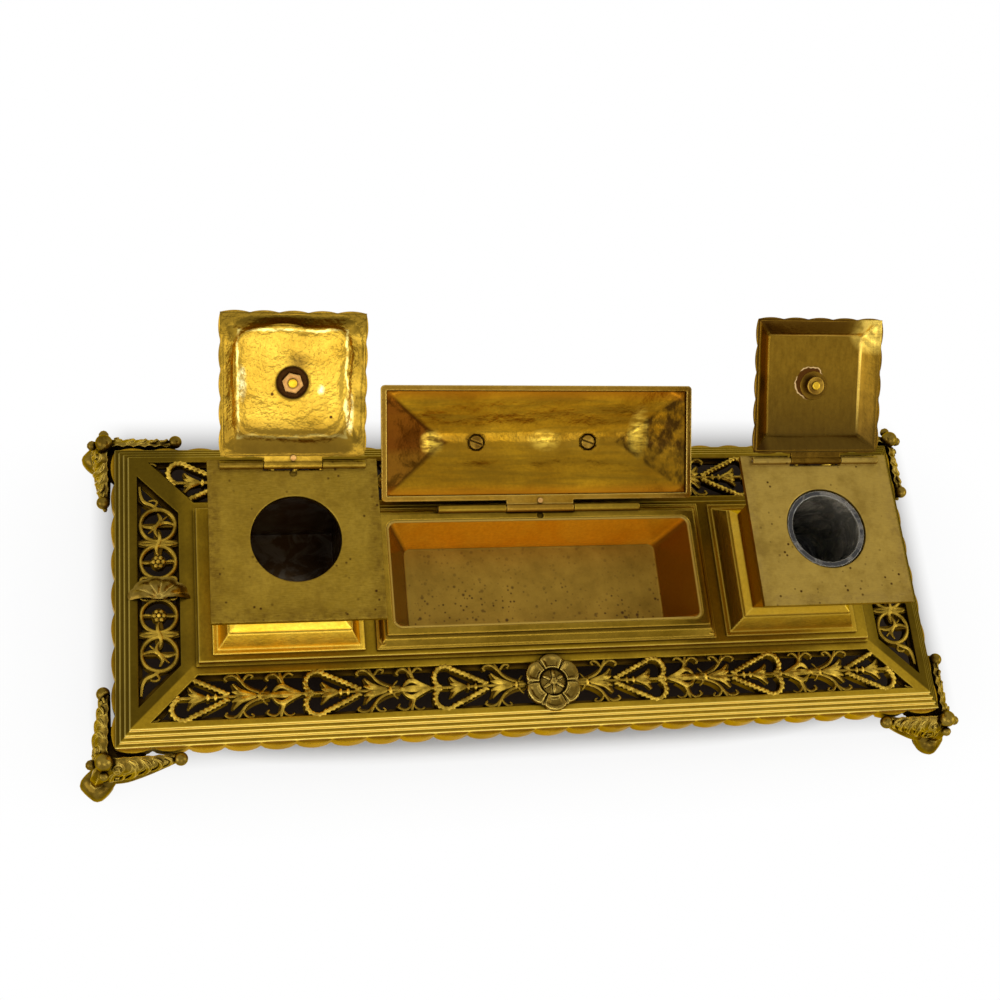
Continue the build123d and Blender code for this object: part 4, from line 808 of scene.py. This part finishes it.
# ---- operators: stage ------------------------------------------------------------------------
class InkstandStageSet(bpy.types.Operator):
    """Set up the floor, the soft lamps, the white surroundings and the camera"""

    bl_idname = "inkstand.stage"
    bl_label = "Stage"

    def execute(self, context):
        settings = stage_settings()
        scene = context.scene
        floor = fresh("plane", size=settings.floor_size)
        floor.name = "floor"
        floor.data.materials.append(self.floor_material())
        self.surroundings(scene)
        for name, place, size, power in (
            ("key_lamp", (0.03, -1.05, 0.98), 0.7, settings.key_power),
            ("left_lamp", (-1.3, -0.5, 0.6), 0.9, settings.side_power),
            ("right_lamp", (1.3, -0.4, 0.6), 0.9, settings.side_power),
        ):
            lamp = bpy.data.lights.new(name, "AREA")
            lamp.shape = "SQUARE"
            lamp.size = size
            lamp.energy = power
            holder = bpy.data.objects.new(name, lamp)
            scene.collection.objects.link(holder)
            holder.location = place
            holder.rotation_euler = (-Vector(place)).to_track_quat("-Z", "Y").to_euler()
        lens = bpy.data.cameras.new("camera")
        lens.lens = CAMERA_LENS
        lens.sensor_width = CAMERA_SENSOR
        lens.clip_start, lens.clip_end = 0.01, 50
        lens.dof.use_dof = False
        camera = bpy.data.objects.new("camera", lens)
        scene.collection.objects.link(camera)
        axes = [Vector(CAMERA_RIGHT), -Vector(CAMERA_DOWN), -Vector(CAMERA_AHEAD)]
        turn = Matrix((axes[0], axes[1], axes[2])).transposed().to_4x4()
        camera.matrix_world = Matrix.Translation(CAMERA_PLACE) @ turn
        scene.camera = camera
        scene.view_settings.view_transform = "Standard"
        return {"FINISHED"}

    def floor_material(self):
        """Pale matt floor. Away from the stand it is plain white to the camera, and under it a dark painted
        shadow.
        """
        material, tree, shader = new_material("pale_floor")
        place = place_of(tree)
        pale = place.noise(300, 3).colours((246, 246, 245), (251, 251, 250))
        side, front = (
            abs(part - middle).spread(*fade)
            for part, middle, fade in zip(place.parts(), SHADE_MIDDLE, SHADE_FADE)
        )
        # painted shadow under the stand
        under = side * front
        put(shader.inputs["Base Color"], under.colours(pale, (48, 38, 30)))
        shader.inputs["Roughness"].default_value = 0.9
        shader.inputs["Specular IOR Level"].default_value = 0.1
        white = added(tree, "Emission", {}, {"Color": (255, 255, 255), "Strength": 1.0})
        length, width = WHITE_START
        across, along = place_of(tree, scale=(1 / length, 1 / width, 0)).parts()[:2]
        away = (abs(across).reckon("POWER", 4.0) + abs(along).reckon("POWER", 4.0)).reckon("POWER", 0.25)
        lit = away.spread(0.84, 0.96, 0.0, 0.82) + away.spread(0.96, 1.4, 0.0, 0.18)
        share = seen_share(tree) * lit * (1.0 - under)
        mixer = added(tree, "MixShader", {}, {0: share, 1: shader.outputs["BSDF"], 2: white.outputs[0]})
        output = next(node for node in tree.nodes if node.type == "OUTPUT_MATERIAL")
        put(output.inputs["Surface"], mixer.outputs["Shader"])
        return material

    def surroundings(self, scene):
        world = bpy.data.worlds.new("soft_white")
        world.use_nodes = True
        tree = world.node_tree
        tree.nodes.clear()
        strength = seen_share(tree).spread(0.0, 1.0, stage_settings().floor_light, 1.0)
        white = added(tree, "Background", {}, {"Color": (255, 255, 255), "Strength": strength})
        put(tree.nodes.new("ShaderNodeOutputWorld").inputs["Surface"], white.outputs["Background"])
        scene.world = world


# ---- operators: stand ------------------------------------------------------------------------
class InkstandStand(bpy.types.Operator):
    """Finish the deck with its moulding, the scalloped skirt and the plinth"""

    bl_idname = "inkstand.stand"
    bl_label = "Deck, Skirt and Plinth"

    def execute(self, context):
        dressed("deck_brass", "base_frame", "plinth")
        dressed("skirt_brass", "skirt")
        return {"FINISHED"}


# one repeat of the front pattern: along the window, out from its middle line
FRONT_STEM = ((((0, 0), (PERIOD, 0)), (0.75, 0.75)),)
FRONT_TENDRILS = (
    (((0.6, 0.7), (4.6, 1), (8.2, 2.6), (10.4, 5), (12.2, 9)), (0.5, 0.7, 0.8, 0.75, 0.6)),
    (((10.6, 5.4), (12.6, 7.8), (15.2, 7.6), (16.5, 6.3), (15.3, 5.6)), (0.5, 0.75, 0.7, 0.6, 0.45)),
    (((10.2, 5), (9.2, 7.2), (7.2, 8), (6.1, 7), (7.3, 6.3)), (0.5, 0.7, 0.65, 0.55, 0.4)),
    (((3.3, 0.9), (2.9, 2.2), (1.5, 3.3)), (0.5, 0.55, 0.3)),
    (((5.5, 0.4), (8.5, 1), (11.4, 2), (13.4, 4.6)), (0.7, 1.1, 1.2, 0.45)),
    (((5.8, 0.2), (9.5, 0.7), (12, 1.2), (13.8, 1.8)), (0.7, 1.25, 1.3, 0.5)),
    (((23, 0.3), (25, 0.9), (27, 1.8), (28.6, 3.9)), (0.6, 1, 1.05, 0.4)),
    (((23.2, 0.2), (25.6, 0.6), (27.4, 0.9), (28.7, 1.5)), (0.6, 1.15, 1.15, 0.45)),
    (((36, 0.3), (39, 1.1), (42.4, 3.3), (44.6, 2.4), (45.9, 0.8)), (0.7, 1.2, 1.35, 1.1, 0.45)),
    (((37, 0.1), (41, 0.8), (45.5, 0.4)), (0.7, 1.5, 0.8)),
    (((38.6, 1.2), (41.4, 2.4), (42.9, 5.2), (43.4, 9)), (0.5, 0.95, 0.9, 0.6)),
    (((42.9, 5.4), (44.6, 7.8), (47, 7.4), (48.3, 5.9), (47.2, 5.2)), (0.5, 0.75, 0.65, 0.55, 0.4)),
    (((42.8, 5.2), (41.4, 7.6), (39.2, 7.8), (38.5, 6.7)), (0.5, 0.7, 0.6, 0.4)),
)
FRONT_LOOP = (((15.6, 1), (21.6, 4), (27.2, 6.6)), ((27.2, 6.6), (33.6, 6.1), (32.9, 0.6)))
FRONT_COLLARS = (4.2, 19.4, 22, 34.2)

# upper half of a side window: out from its middle line, along from its middle
SIDE_LEAVES = (
    (((-7, 17), (-3.6, 18.2), (0, 17)), (0.3, 1.1, 0.6)),
    (((-7, 17), (-3.6, 15.8), (0, 17)), (0.3, 1.1, 0.6)),
    (((7, 17), (3.6, 18.2), (0, 17)), (0.3, 1.1, 0.6)),
    (((7, 17), (3.6, 15.8), (0, 17)), (0.3, 1.1, 0.6)),
    (((0, 12.2), (0.9, 14.8), (0, 17), (-0.9, 19.2), (0, 21.8)), (0.3, 1.1, 0.8, 1.1, 0.3)),
    (((-6, 10), (-4.4, 10.7), (-2.4, 10)), (0.5, 0.8, 0.4)),
    (((6, 10), (4.4, 9.3), (2.4, 10)), (0.5, 0.8, 0.4)),
    (((-6, 24), (-3, 25.4), (0, 24), (3, 22.6), (6, 24)), (0.5, 0.9, 0.8, 0.9, 0.5)),
    (((0, 19.4), (1.6, 21.8), (0, 24.4), (-1.6, 26.4), (0, 28.6)), (0.4, 0.9, 0.9, 0.9, 0.4)),
    (((-3.4, 27.4), (-1.6, 25.8), (0, 24.2)), (0.35, 0.7, 0.5)),
    (((3.4, 20.8), (1.6, 22.6), (0, 24.2)), (0.35, 0.7, 0.5)),
    (((0, 30.2), (1.6, 31.6), (4.8, 32.6), (6.2, 35.4), (6.4, 39)), (0.6, 0.9, 0.9, 0.8, 0.6)),
    (((1.2, 31.2), (-0.4, 32.6), (1.4, 34), (3.2, 33.2)), (0.5, 0.7, 0.6, 0.4)),
    (((-2, 3.6), (-5.2, 4.6), (-6.8, 2.6), (-5, 1.2)), (0.5, 0.8, 0.8, 0.5)),
    (((2, 3.6), (5.2, 4.6), (6.8, 2.6), (5, 1.2)), (0.5, 0.8, 0.8, 0.5)),
    (((0, 0), (0, 3.4)), (1, 0.8)),
)


class InkstandFretwork(bpy.types.Operator):
    """Lay the chased scrolls, trumpets, tulips and beaded loops on the fretwork"""

    bl_idname = "inkstand.fretwork"
    bl_label = "Fretwork"

    def execute(self, context):
        for side in ("front", "rear", "left", "right"):
            dressed("fret_brass_ground", side + "_fretwork")
        quarter = self.front_quarter()
        for side, name in ((1, "front_scrolls"), (-1, "rear_scrolls")):
            halves = [copied(quarter, flip(1, side)), copied(quarter, flip(-1, side))]
            finished(joined(halves, name), name, "ornament_brass_rubbed")
        removed(quarter)
        quarter = self.side_quarter()
        for side, name in ((1, "right_scrolls"), (-1, "left_scrolls")):
            halves = [copied(quarter, flip(side, 1)), copied(quarter, flip(side, -1))]
            finished(joined(halves, name), name, "ornament_brass_rubbed")
        removed(quarter)
        return {"FINISHED"}

    def front_quarter(self):
        """Right half of the front window's ornament, cut off at the mitre."""
        upper = [flat_strokes(FRONT_TENDRILS, RELIEF_LEVEL)]
        for arc in FRONT_LOOP:
            steps = list(arc_steps(*arc, 1.75))
            upper.append(flat_strokes([([step[:2] for step in steps], [1.0] * len(steps))], RELIEF_LEVEL))
            for x, y, direction in steps:
                upper.append(ball(x, y, RELIEF_LEVEL + 0.05, 1.65, 0.62, direction + 0.7, 0.5))
        upper = joined(upper, "upper")
        repeat = [upper, copied(upper, flip(1, -1)), flat_strokes(FRONT_STEM, RELIEF_LEVEL)]
        for collar in FRONT_COLLARS:
            repeat.append(ball(collar, 0, RELIEF_LEVEL, 1.7, 0.7, 0, 0.45))
        repeat.append(ball(PERIOD, 0, RELIEF_LEVEL, 1.3, 0.8))
        repeat = joined(repeat, "repeat")
        row = [
            copied(repeat, shift(PATTERN_START + index * PERIOD, -FRONT_MIDDLE)) for index in range(REPEATS)
        ]
        removed(repeat)
        return trimmed(joined(row, "row"), (FRONT_MITRE, 0, 0), (1, 1, 0))

    def side_quarter(self):
        """Rear half of the right window's ornament, cut off at the mitre."""
        pieces = [flat_strokes(SIDE_LEAVES, RELIEF_LEVEL)]
        for along in (10.0, 24.0):
            pieces.append(ring(0, along, RELIEF_LEVEL - 0.1, 6.15, 0.85))
        for petal in range(6):
            angle = petal * math.pi / 3
            pieces.append(
                ball(1.7 * math.cos(angle), 10 + 1.7 * math.sin(angle), RELIEF_LEVEL + 0.1, 1.0, 0.8)
            )
        pieces.append(ball(0, 10, RELIEF_LEVEL + 0.5, 0.9, 0.8))
        row = copied(joined(pieces, "half"), shift(SIDE_MIDDLE, 0))
        removed(bpy.data.objects["half"])
        return trimmed(row, (SIDE_MITRE, 0, 0), (-1, 1, 0))


class InkstandRosettes(bpy.types.Operator):
    """Model the six-petalled flowers over the front and rear windows"""

    bl_idname = "inkstand.rosettes"
    bl_label = "Rosettes"

    def execute(self, context):
        flower = self.flower()
        for side, node in ((-1, "front_rosette"), (1, "rear_rosette")):
            piece = copied(flower, shift(0, side * FRONT_MIDDLE))
            finished(piece, node + "_flower", "flower_brass")
            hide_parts(node)
        removed(flower)
        return {"FINISHED"}

    def flower(self):
        pieces = [turned((
            (0, STUD_FOOT), (1.2, STUD_FOOT), (1.2, DECK_TOP), (9.4, DECK_TOP), (9.3, 36.4), (5.6, 36.7),
            (5.3, 36.5), (4.9, 36.5), (4.6, 37.1), (3.4, 37.5), (1.6, 37.8), (0, 37.9),
        ), "core", 40)]
        petal = thickened(sculpted(18, 14, self.petal, "petal"), 0.7)
        for index in range(6):
            turn = Matrix.Rotation(math.pi / 2 + index * math.pi / 3, 4, "Z")
            pieces.append(copied(petal, turn))
        removed(petal)
        rows = []
        for index in range(6):
            angle = index * math.pi / 3
            for apart in (-0.45, 0.45):
                rows.append(([
                    self.polar(angle, 5.4, apart * 0.6, 37.0), self.polar(angle, 7.4, apart, 37.5),
                    self.polar(angle, 9.6, apart * 0.4, 37.0),
                ], (0.3, 0.4, 0.25)))
            angle += math.pi / 6
            rows.append(([
                self.polar(angle, 1.4, 0, 37.8), self.polar(angle, 3.2, 0, 38.2),
                self.polar(angle, 4.7, 0, 37.0),
            ], (0.5, 1.15, 0.3)))
        pieces.append(strokes(rows))
        pieces.append(ball(0, 0, 38.3, 1.5, 0.55))
        for index in range(6):
            x, y, z = self.polar(index * math.pi / 3, 1.0, 0, 38.95)
            pieces.append(ball(x, y, z, 0.3, 0.8, 0, 1, 6, 4))
        return joined(pieces, "flower")

    def polar(self, angle, reach, aside, level):
        along, across = math.cos(angle), math.sin(angle)
        return (reach * along - aside * across, reach * across + aside * along, level)

    def petal(self, u, v):
        """Broad cupped petal, wider outwards, with a thin raised rim."""
        aside = 2 * u - 1
        angle = aside * math.radians(27.5)
        reach = 5.2 + v * (5.3 - 1.5 * abs(aside) ** 2.6)
        edge = max(abs(aside) ** 1.3, 1 - 3.2 * v if v < 0.15 else 0, v**1.6)
        level = 36.55 + between(edge, ((0, 0.15), (0.45, 0.3), (0.74, 1.15), (0.88, 1.2), (1.0, 0.1)))
        return (reach * math.cos(angle), reach * math.sin(angle), level)


class InkstandShells(bpy.types.Operator):
    """Model the plain shells over the left and right windows"""

    bl_idname = "inkstand.shells"
    bl_label = "Shells"

    def execute(self, context):
        fan = sculpted(88, 10, self.fan, "fan")
        skirt = turned(((0, DECK_TOP), (3.4, DECK_TOP), (3.2, 37.6), (0, 38.4)), "hinge", 24)
        skirt.data.transform(Matrix.Translation((0, -0.0034, 0)) @ Matrix.Diagonal((1, 0.34, 1, 1)))
        stud = turned(((0, STUD_FOOT), (1.2, STUD_FOOT), (1.2, 36.6), (0, 36.6)), "stud", 24)
        shell = joined([fan, skirt, stud], "shell")
        for side, node in ((-1, "left_boss"), (1, "right_boss")):
            piece = copied(shell, shift(side * SIDE_MIDDLE, 0))
            finished(piece, node + "_shell", "flower_brass")
            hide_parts(node)
        removed(shell)
        return {"FINISHED"}

    def fan(self, u, v):
        """Fluted fan that opens to the rear, with its lip on the deck."""
        angle = math.pi * u
        flute = abs(math.cos(5.5 * math.pi * u))
        reach = v * (0.94 + 0.06 * flute)
        dome = max(0.0, math.sin(min(1.0, 0.12 + v) * math.pi)) ** 0.7
        level = DECK_TOP + 2.3 * dome + 0.75 * flute * v * (1 - v) * 2.4 + 0.3
        if v > 0.99:
            level = DECK_TOP
        return (11.0 * reach * math.cos(angle), -4.2 + 8.7 * reach * math.sin(angle), level)


class InkstandFeet(bpy.types.Operator):
    """Add the acanthus leaves, bands and scrolls to the four cast feet"""

    bl_idname = "inkstand.feet"
    bl_label = "Feet"

    def execute(self, context):
        leaves = self.leaves()
        for side_x, side_y, node in (
            (-1, -1, "foot_front_left"), (1, -1, "foot_front_right"),
            (-1, 1, "foot_rear_left"), (1, 1, "foot_rear_right"),
        ):
            dressed("foot_brass", node)
            finished(copied(leaves, flip(side_x, side_y)), node + "_leaves", "foot_brass")
        removed(leaves)
        return {"FINISHED"}

    def arm(self, along, share, proud=0.0):
        """Point on the outer face of an arm; share runs from its lower edge, -1, to its upper, 1."""
        thick, depth, middle = (between(along, row) for row in (ARM_THICK, ARM_DEPTH, ARM_LEVEL))
        turn = share * math.pi / 2
        out = ARM_OUT + thick / 2 + (thick / 2 + proud) * math.cos(turn)
        return along, out, middle + (depth / 2 + proud) * math.sin(turn)

    def on_web(self, spot, long_side, u, v, proud=0.0):
        """Point on the fluted leaf between an arm and the moulding above it."""
        flute = 0.3 * math.cos(12 * math.pi * u) + proud
        x, y, z = spot(-15.5 + 23.5 * u, 0.35, 0.2)
        out = y - HALF_WIDTH if long_side else x - HALF_LENGTH
        level = z + (28.4 - z) * math.sin(v * math.pi / 2) + flute * v
        out += (7.0 - out) * (1 - math.cos(v * math.pi / 2)) * 0.9 + flute * 0.6
        return (x, HALF_WIDTH + out, level) if long_side else (HALF_LENGTH + out, y, level)

    def veins(self, spot, long_side):
        """Curled veins and an oval eye that lie on the leaf."""
        rows = []
        for start, size in ((0.14, 0.5), (0.3, 0.65), (0.46, 0.8), (0.62, 0.95)):
            rows.append(([
                self.on_web(spot, long_side, start + turn * size, v, 0.3)
                for turn, v in ((0.16, 0.0), (0.04, 0.14), (-0.04, 0.4), (-0.01, 0.68), (0.07, 0.86))
            ], (0.35 * size, 0.8 * size, size, 0.8 * size, 0.4 * size)))
        eye = [self.on_web(spot, long_side, 0.84 + 0.072 * x, 0.46 + 0.24 * y, 0.35) for x, y in CIRCLE]
        bar = [self.on_web(spot, long_side, 0.81 + 0.006 * k, 0.46, 0.35) for k in range(11)]
        return rows + [(eye, [0.5] * 11), (bar, [0.9] * 11)]

    def leaves(self):
        rows, pieces = [], []
        for long_side in (True, False):
            def spot(along, share, proud=0.0):
                step, out, level = self.arm(along, share, proud)
                if long_side:
                    return (HALF_LENGTH + step, HALF_WIDTH + out, level)
                return (HALF_LENGTH + out, HALF_WIDTH + step, level)
            rows.append((
                [spot(a, -0.6, -0.5) for a in (-17, -12, -7, -2, 3, 8)], (0.8, 1.3, 1.8, 2.2, 2.3, 1.6),
            ))
            for start, size in ((-12.6, 0.7), (-9.0, 0.85), (-4.9, 1.0), (-0.4, 1.15)):
                for steps, radii in LEAF_STROKES:
                    points = [spot(start + step, share, proud) for step, share, proud in steps]
                    rows.append((points, [size * radius for radius in radii]))
            eye = [spot(4.6 + 2.4 * x, 0.3 + 0.34 * y, 0.3) for x, y in CIRCLE]
            rows.append((eye, [0.6] * len(eye)))
            x, y, z = spot(4.6, 0.3, 0.1)
            rows.append(([(x, y, z - 0.8), (x, y, z), (x, y, z + 0.8)], (0.9, 1.5, 0.9)))
            rows.extend(self.veins(spot, long_side))
            web = sculpted(60, 8, lambda u, v: self.on_web(spot, long_side, u, v), "web")
            pieces.append(thickened(web, 0.7))
        lean = math.sqrt(0.5)
        for aside, swell, points in (
            (0.0, 1.0, ((7.6, 25.5), (10.4, 20.5), (11.6, 15.0), (11.4, 10.5), (12.6, 8.4))),
            (-4.0, 0.5, ((7.0, 24.4), (9.6, 21.0), (9.8, 16.5), (8.6, 13.0))),
            (4.0, 0.5, ((7.0, 24.4), (9.6, 21.0), (9.8, 16.5), (8.6, 13.0))),
        ):
            path = [
                (HALF_LENGTH + out + aside * lean, HALF_WIDTH + out - aside * lean, level)
                for out, level in points
            ]
            rows.append((path, [radius * swell for radius in (1.6, 2.5, 2.7, 2.4, 1.6)[:len(path)]]))
        pieces.append(strokes(rows))
        drum = turned((
            (0, -5.3), (1.4, -5.3), (3.0, -5.0), (4.2, -4.2), (4.8, -3.0), (4.95, -1.4), (5.0, 0.0),
            (4.95, 1.4), (4.8, 3.0), (4.2, 4.2), (3.0, 5.0), (1.4, 5.3), (0, 5.3),
        ), "drum", 32)
        lay = Matrix.Rotation(math.radians(-45), 4, "Z") @ Matrix.Rotation(math.radians(90), 4, "Y")
        drum.data.transform(shift(HALF_LENGTH + TOE_OUT, HALF_WIDTH + TOE_OUT, 5.05) @ lay)
        pieces.append(drum)
        pieces.append(ball(HALF_LENGTH + 13.2, HALF_WIDTH + 9.0, 25.6, 1.9))
        pieces.append(ball(HALF_LENGTH + 9.0, HALF_WIDTH + 13.2, 25.6, 1.9))
        return joined(pieces, "leaves")


# ---- operators: wells ------------------------------------------------------------------------
class InkstandWells(bpy.types.Operator):
    """Finish the two well bodies and their top plates"""

    bl_idname = "inkstand.wells"
    bl_label = "Wells"

    def execute(self, context):
        dressed("well_brass", "left_well_body", "right_well_body")
        dressed("plate_brass", "left_well_plate", "right_well_plate")
        return {"FINISHED"}


class InkstandWellLids(bpy.types.Operator):
    """Finish the hammered left lid, the brushed right lid and their finials"""

    bl_idname = "inkstand.well_lids"
    bl_label = "Well Lids"

    def execute(self, context):
        dressed("left_lid_brass", "left_lid")
        dressed("right_lid_brass", "right_lid")
        dressed("turned_brass", "left_finial", "right_finial")
        for x, angle, place, body in (
            (-WELL_X, LEFT_OPEN, self.beaten, "left_lid"), (WELL_X, RIGHT_OPEN, self.pressed, "right_lid"),
        ):
            pan = thickened(sculpted(96, 96, place, "pan"), PAN_THICK)
            pan.data.transform(lid_matrix(x, *LID_HINGE, angle))
            finished(pan, body + "_pan", body + "_pan_brass", body)
        return {"FINISHED"}

    def beaten(self, u, v):
        """Inside of the left lid: a hammered panel with a wandering border, a dish and a recess."""
        x, y = (u - 0.5) * PAN_SIDE, (v - 0.5) * PAN_SIDE
        edge = PAN_SIDE / 2 - max(abs(x), abs(y))
        rounder = PAN_SIDE / 2 - (abs(x) ** 6 + abs(y) ** 6) ** (1 / 6)
        wander = field.noise(Vector((u * 3.4, v * 3.4, 3.1)))
        inward = min(1.0, edge / 4)
        inner = max(0.0, edge + (max(0.0, rounder) - edge + 1.5 * wander) * inward)
        level = between(inner, ((0, -0.42), (0.9, -0.4), (4.2, 2.2), (5.4, 3.7), (6.2, 3.6), (8.4, 4.05)))
        radius = math.hypot(x, y)
        level += 0.4 * (1 - min(1.0, max(0.0, (radius - 11.0) / 6.0)))
        level += 0.45 * (1 - min(1.0, max(0.0, (radius - 5.2) / 0.6)))
        if inner > 1.2:
            level -= 0.2 + 0.2 * field.noise(Vector((x * 0.12, y * 0.12, 7)))
            level -= 0.04 * field.noise(Vector((x * 0.45, y * 0.45, 2)))
        return (x, -(PAN_START + v * PAN_SIDE), level)

    def pressed(self, u, v):
        """Inside of the right lid: a flat panel with a sharp border and one beaten corner."""
        x, y = (u - 0.5) * PAN_SIDE, (v - 0.5) * PAN_SIDE
        edge = PAN_SIDE / 2 - max(abs(x), abs(y))
        wander = field.noise(Vector((u * 4, v * 4, 9.4)))
        inner = max(0.0, edge + 0.4 * wander * min(1.0, edge / 3))
        level = between(inner, ((0, -0.42), (0.8, -0.4), (4.2, 2.3), (5.2, 3.1), (5.9, 3.95), (6.3, 4.08)))
        if inner > 1.2:
            level -= 0.05 + 0.05 * field.noise(Vector((x * 0.2, y * 0.2, 7)))
        corner = max(0.0, 1 - math.hypot(x - 19, y - 19) / 9)
        level -= corner * 0.5 * (1 + field.noise(Vector((x * 0.4, y * 0.4, 5))))
        return (x, -(PAN_START + v * PAN_SIDE), max(level, -0.42))


class InkstandStampBox(bpy.types.Operator):
    """Finish the stamp box and its tray"""

    bl_idname = "inkstand.stamp_box"
    bl_label = "Stamp Box"

    def execute(self, context):
        dressed("box_brass_worn", "stamp_box_body")
        dressed("tray_brass_amber", "stamp_tray")
        return {"FINISHED"}


class InkstandStampLid(bpy.types.Operator):
    """Finish the hipped lid of the stamp box"""

    bl_idname = "inkstand.stamp_lid"
    bl_label = "Stamp Lid"

    def execute(self, context):
        dressed("stamp_lid_brass", "stamp_lid")
        pan = thickened(sculpted(150, 60, self.hipped, "pan"), PAN_THICK)
        pan.data.transform(lid_matrix(0, *STAMP_HINGE, STAMP_OPEN))
        finished(pan, "stamp_lid_pan", "stamp_pan_brass", "stamp_lid")
        return {"FINISHED"}

    def hipped(self, u, v):
        """Inside of the stamp lid: soft hips, beaten a little, over the hollow of the solid."""
        x, y = (u - 0.5) * STAMP_PAN[0], (v - 0.5) * STAMP_PAN[1]
        end, side = ((half - abs(at)) / run for at, (half, run) in zip((x, y), STAMP_HOLLOW))
        rise = min(1.0, end, side)
        soft = 0.12 * math.exp(-((end - side) / 0.22) ** 2) * max(0.0, 1 - rise)
        rise = max(0.0, rise - soft - 0.05 * max(0.0, 1 - abs(1 - min(end, side)) / 0.2))
        level = 1.4 + 10.6 * rise - 0.3
        dents = field.noise(Vector((x * 0.07, y * 0.2, 4))) + 0.4 * field.noise(Vector((x * 0.3, y * 0.5, 8)))
        level -= 0.25 * (1 + dents) * min(1.0, 4 * rise)
        if math.hypot(abs(x) - STAMP_SCREW_X, y) < 3.1:
            level = STAMP_TOP
        return (x, -STAMP_PAN_MIDDLE - y, level)


class InkstandHandle(bpy.types.Operator):
    """Finish the turned handle of the stamp lid"""

    bl_idname = "inkstand.handle"
    bl_label = "Handle"

    def execute(self, context):
        dressed("turned_brass", "stamp_handle")
        return {"FINISHED"}


class InkstandFixings(bpy.types.Operator):
    """Finish the screws, nuts, rivets and hinge pins"""

    bl_idname = "inkstand.fixings"
    bl_label = "Fixings"

    def execute(self, context):
        dressed(
            "fixing_brass_dark", "ornament_nuts", "foot_screws", "stamp_box_screws", "well_screws",
            "stamp_handle_screws", "right_finial_nut",
        )
        dressed("copper_worn", "left_finial_nut", "left_hinge_rivet", "stamp_hinge_rivet")
        dressed("pin_steel_dull", "stamp_hinge_pin", "left_hinge_pin", "right_hinge_pin")
        return {"FINISHED"}


class InkstandLiner(bpy.types.Operator):
    """Finish the glass liner of the right well"""

    bl_idname = "inkstand.liner"
    bl_label = "Glass Liner"

    def execute(self, context):
        dressed("clear_glass", "right_glass_liner")
        return {"FINISHED"}


STEPS = (
    InkstandStageSet, InkstandStand, InkstandFretwork, InkstandRosettes, InkstandShells, InkstandFeet,
    InkstandWells, InkstandWellLids, InkstandStampBox, InkstandStampLid, InkstandHandle, InkstandFixings,
    InkstandLiner,
)


class InkstandPanel(bpy.types.Panel):
    """Buttons for each part of the inkstand"""

    bl_idname = "VIEW3D_PT_inkstand"
    bl_label = "Desk Inkstand"
    bl_space_type = "VIEW_3D"
    bl_region_type = "UI"
    bl_category = "Inkstand"

    def draw(self, context):
        column = self.layout.column(align=True)
        for group in (brass(), stage_settings()):
            for name in group.__annotations__:
                column.prop(group, name)
        for step in STEPS:
            column.operator(step.bl_idname)


CLASSES = (InkstandBrass, InkstandStage, *STEPS, InkstandPanel)


def register():
    for each in CLASSES:
        bpy.utils.register_class(each)
    bpy.types.Scene.inkstand_brass = PointerProperty(type=InkstandBrass)
    bpy.types.Scene.inkstand_stage = PointerProperty(type=InkstandStage)


def unregister():
    del bpy.types.Scene.inkstand_stage
    del bpy.types.Scene.inkstand_brass
    for each in reversed(CLASSES):
        bpy.utils.unregister_class(each)


def main():
    register()
    for step in STEPS:
        family, action = step.bl_idname.split(".")
        getattr(getattr(bpy.ops, family), action)()


if __name__ == "__main__":
    main()
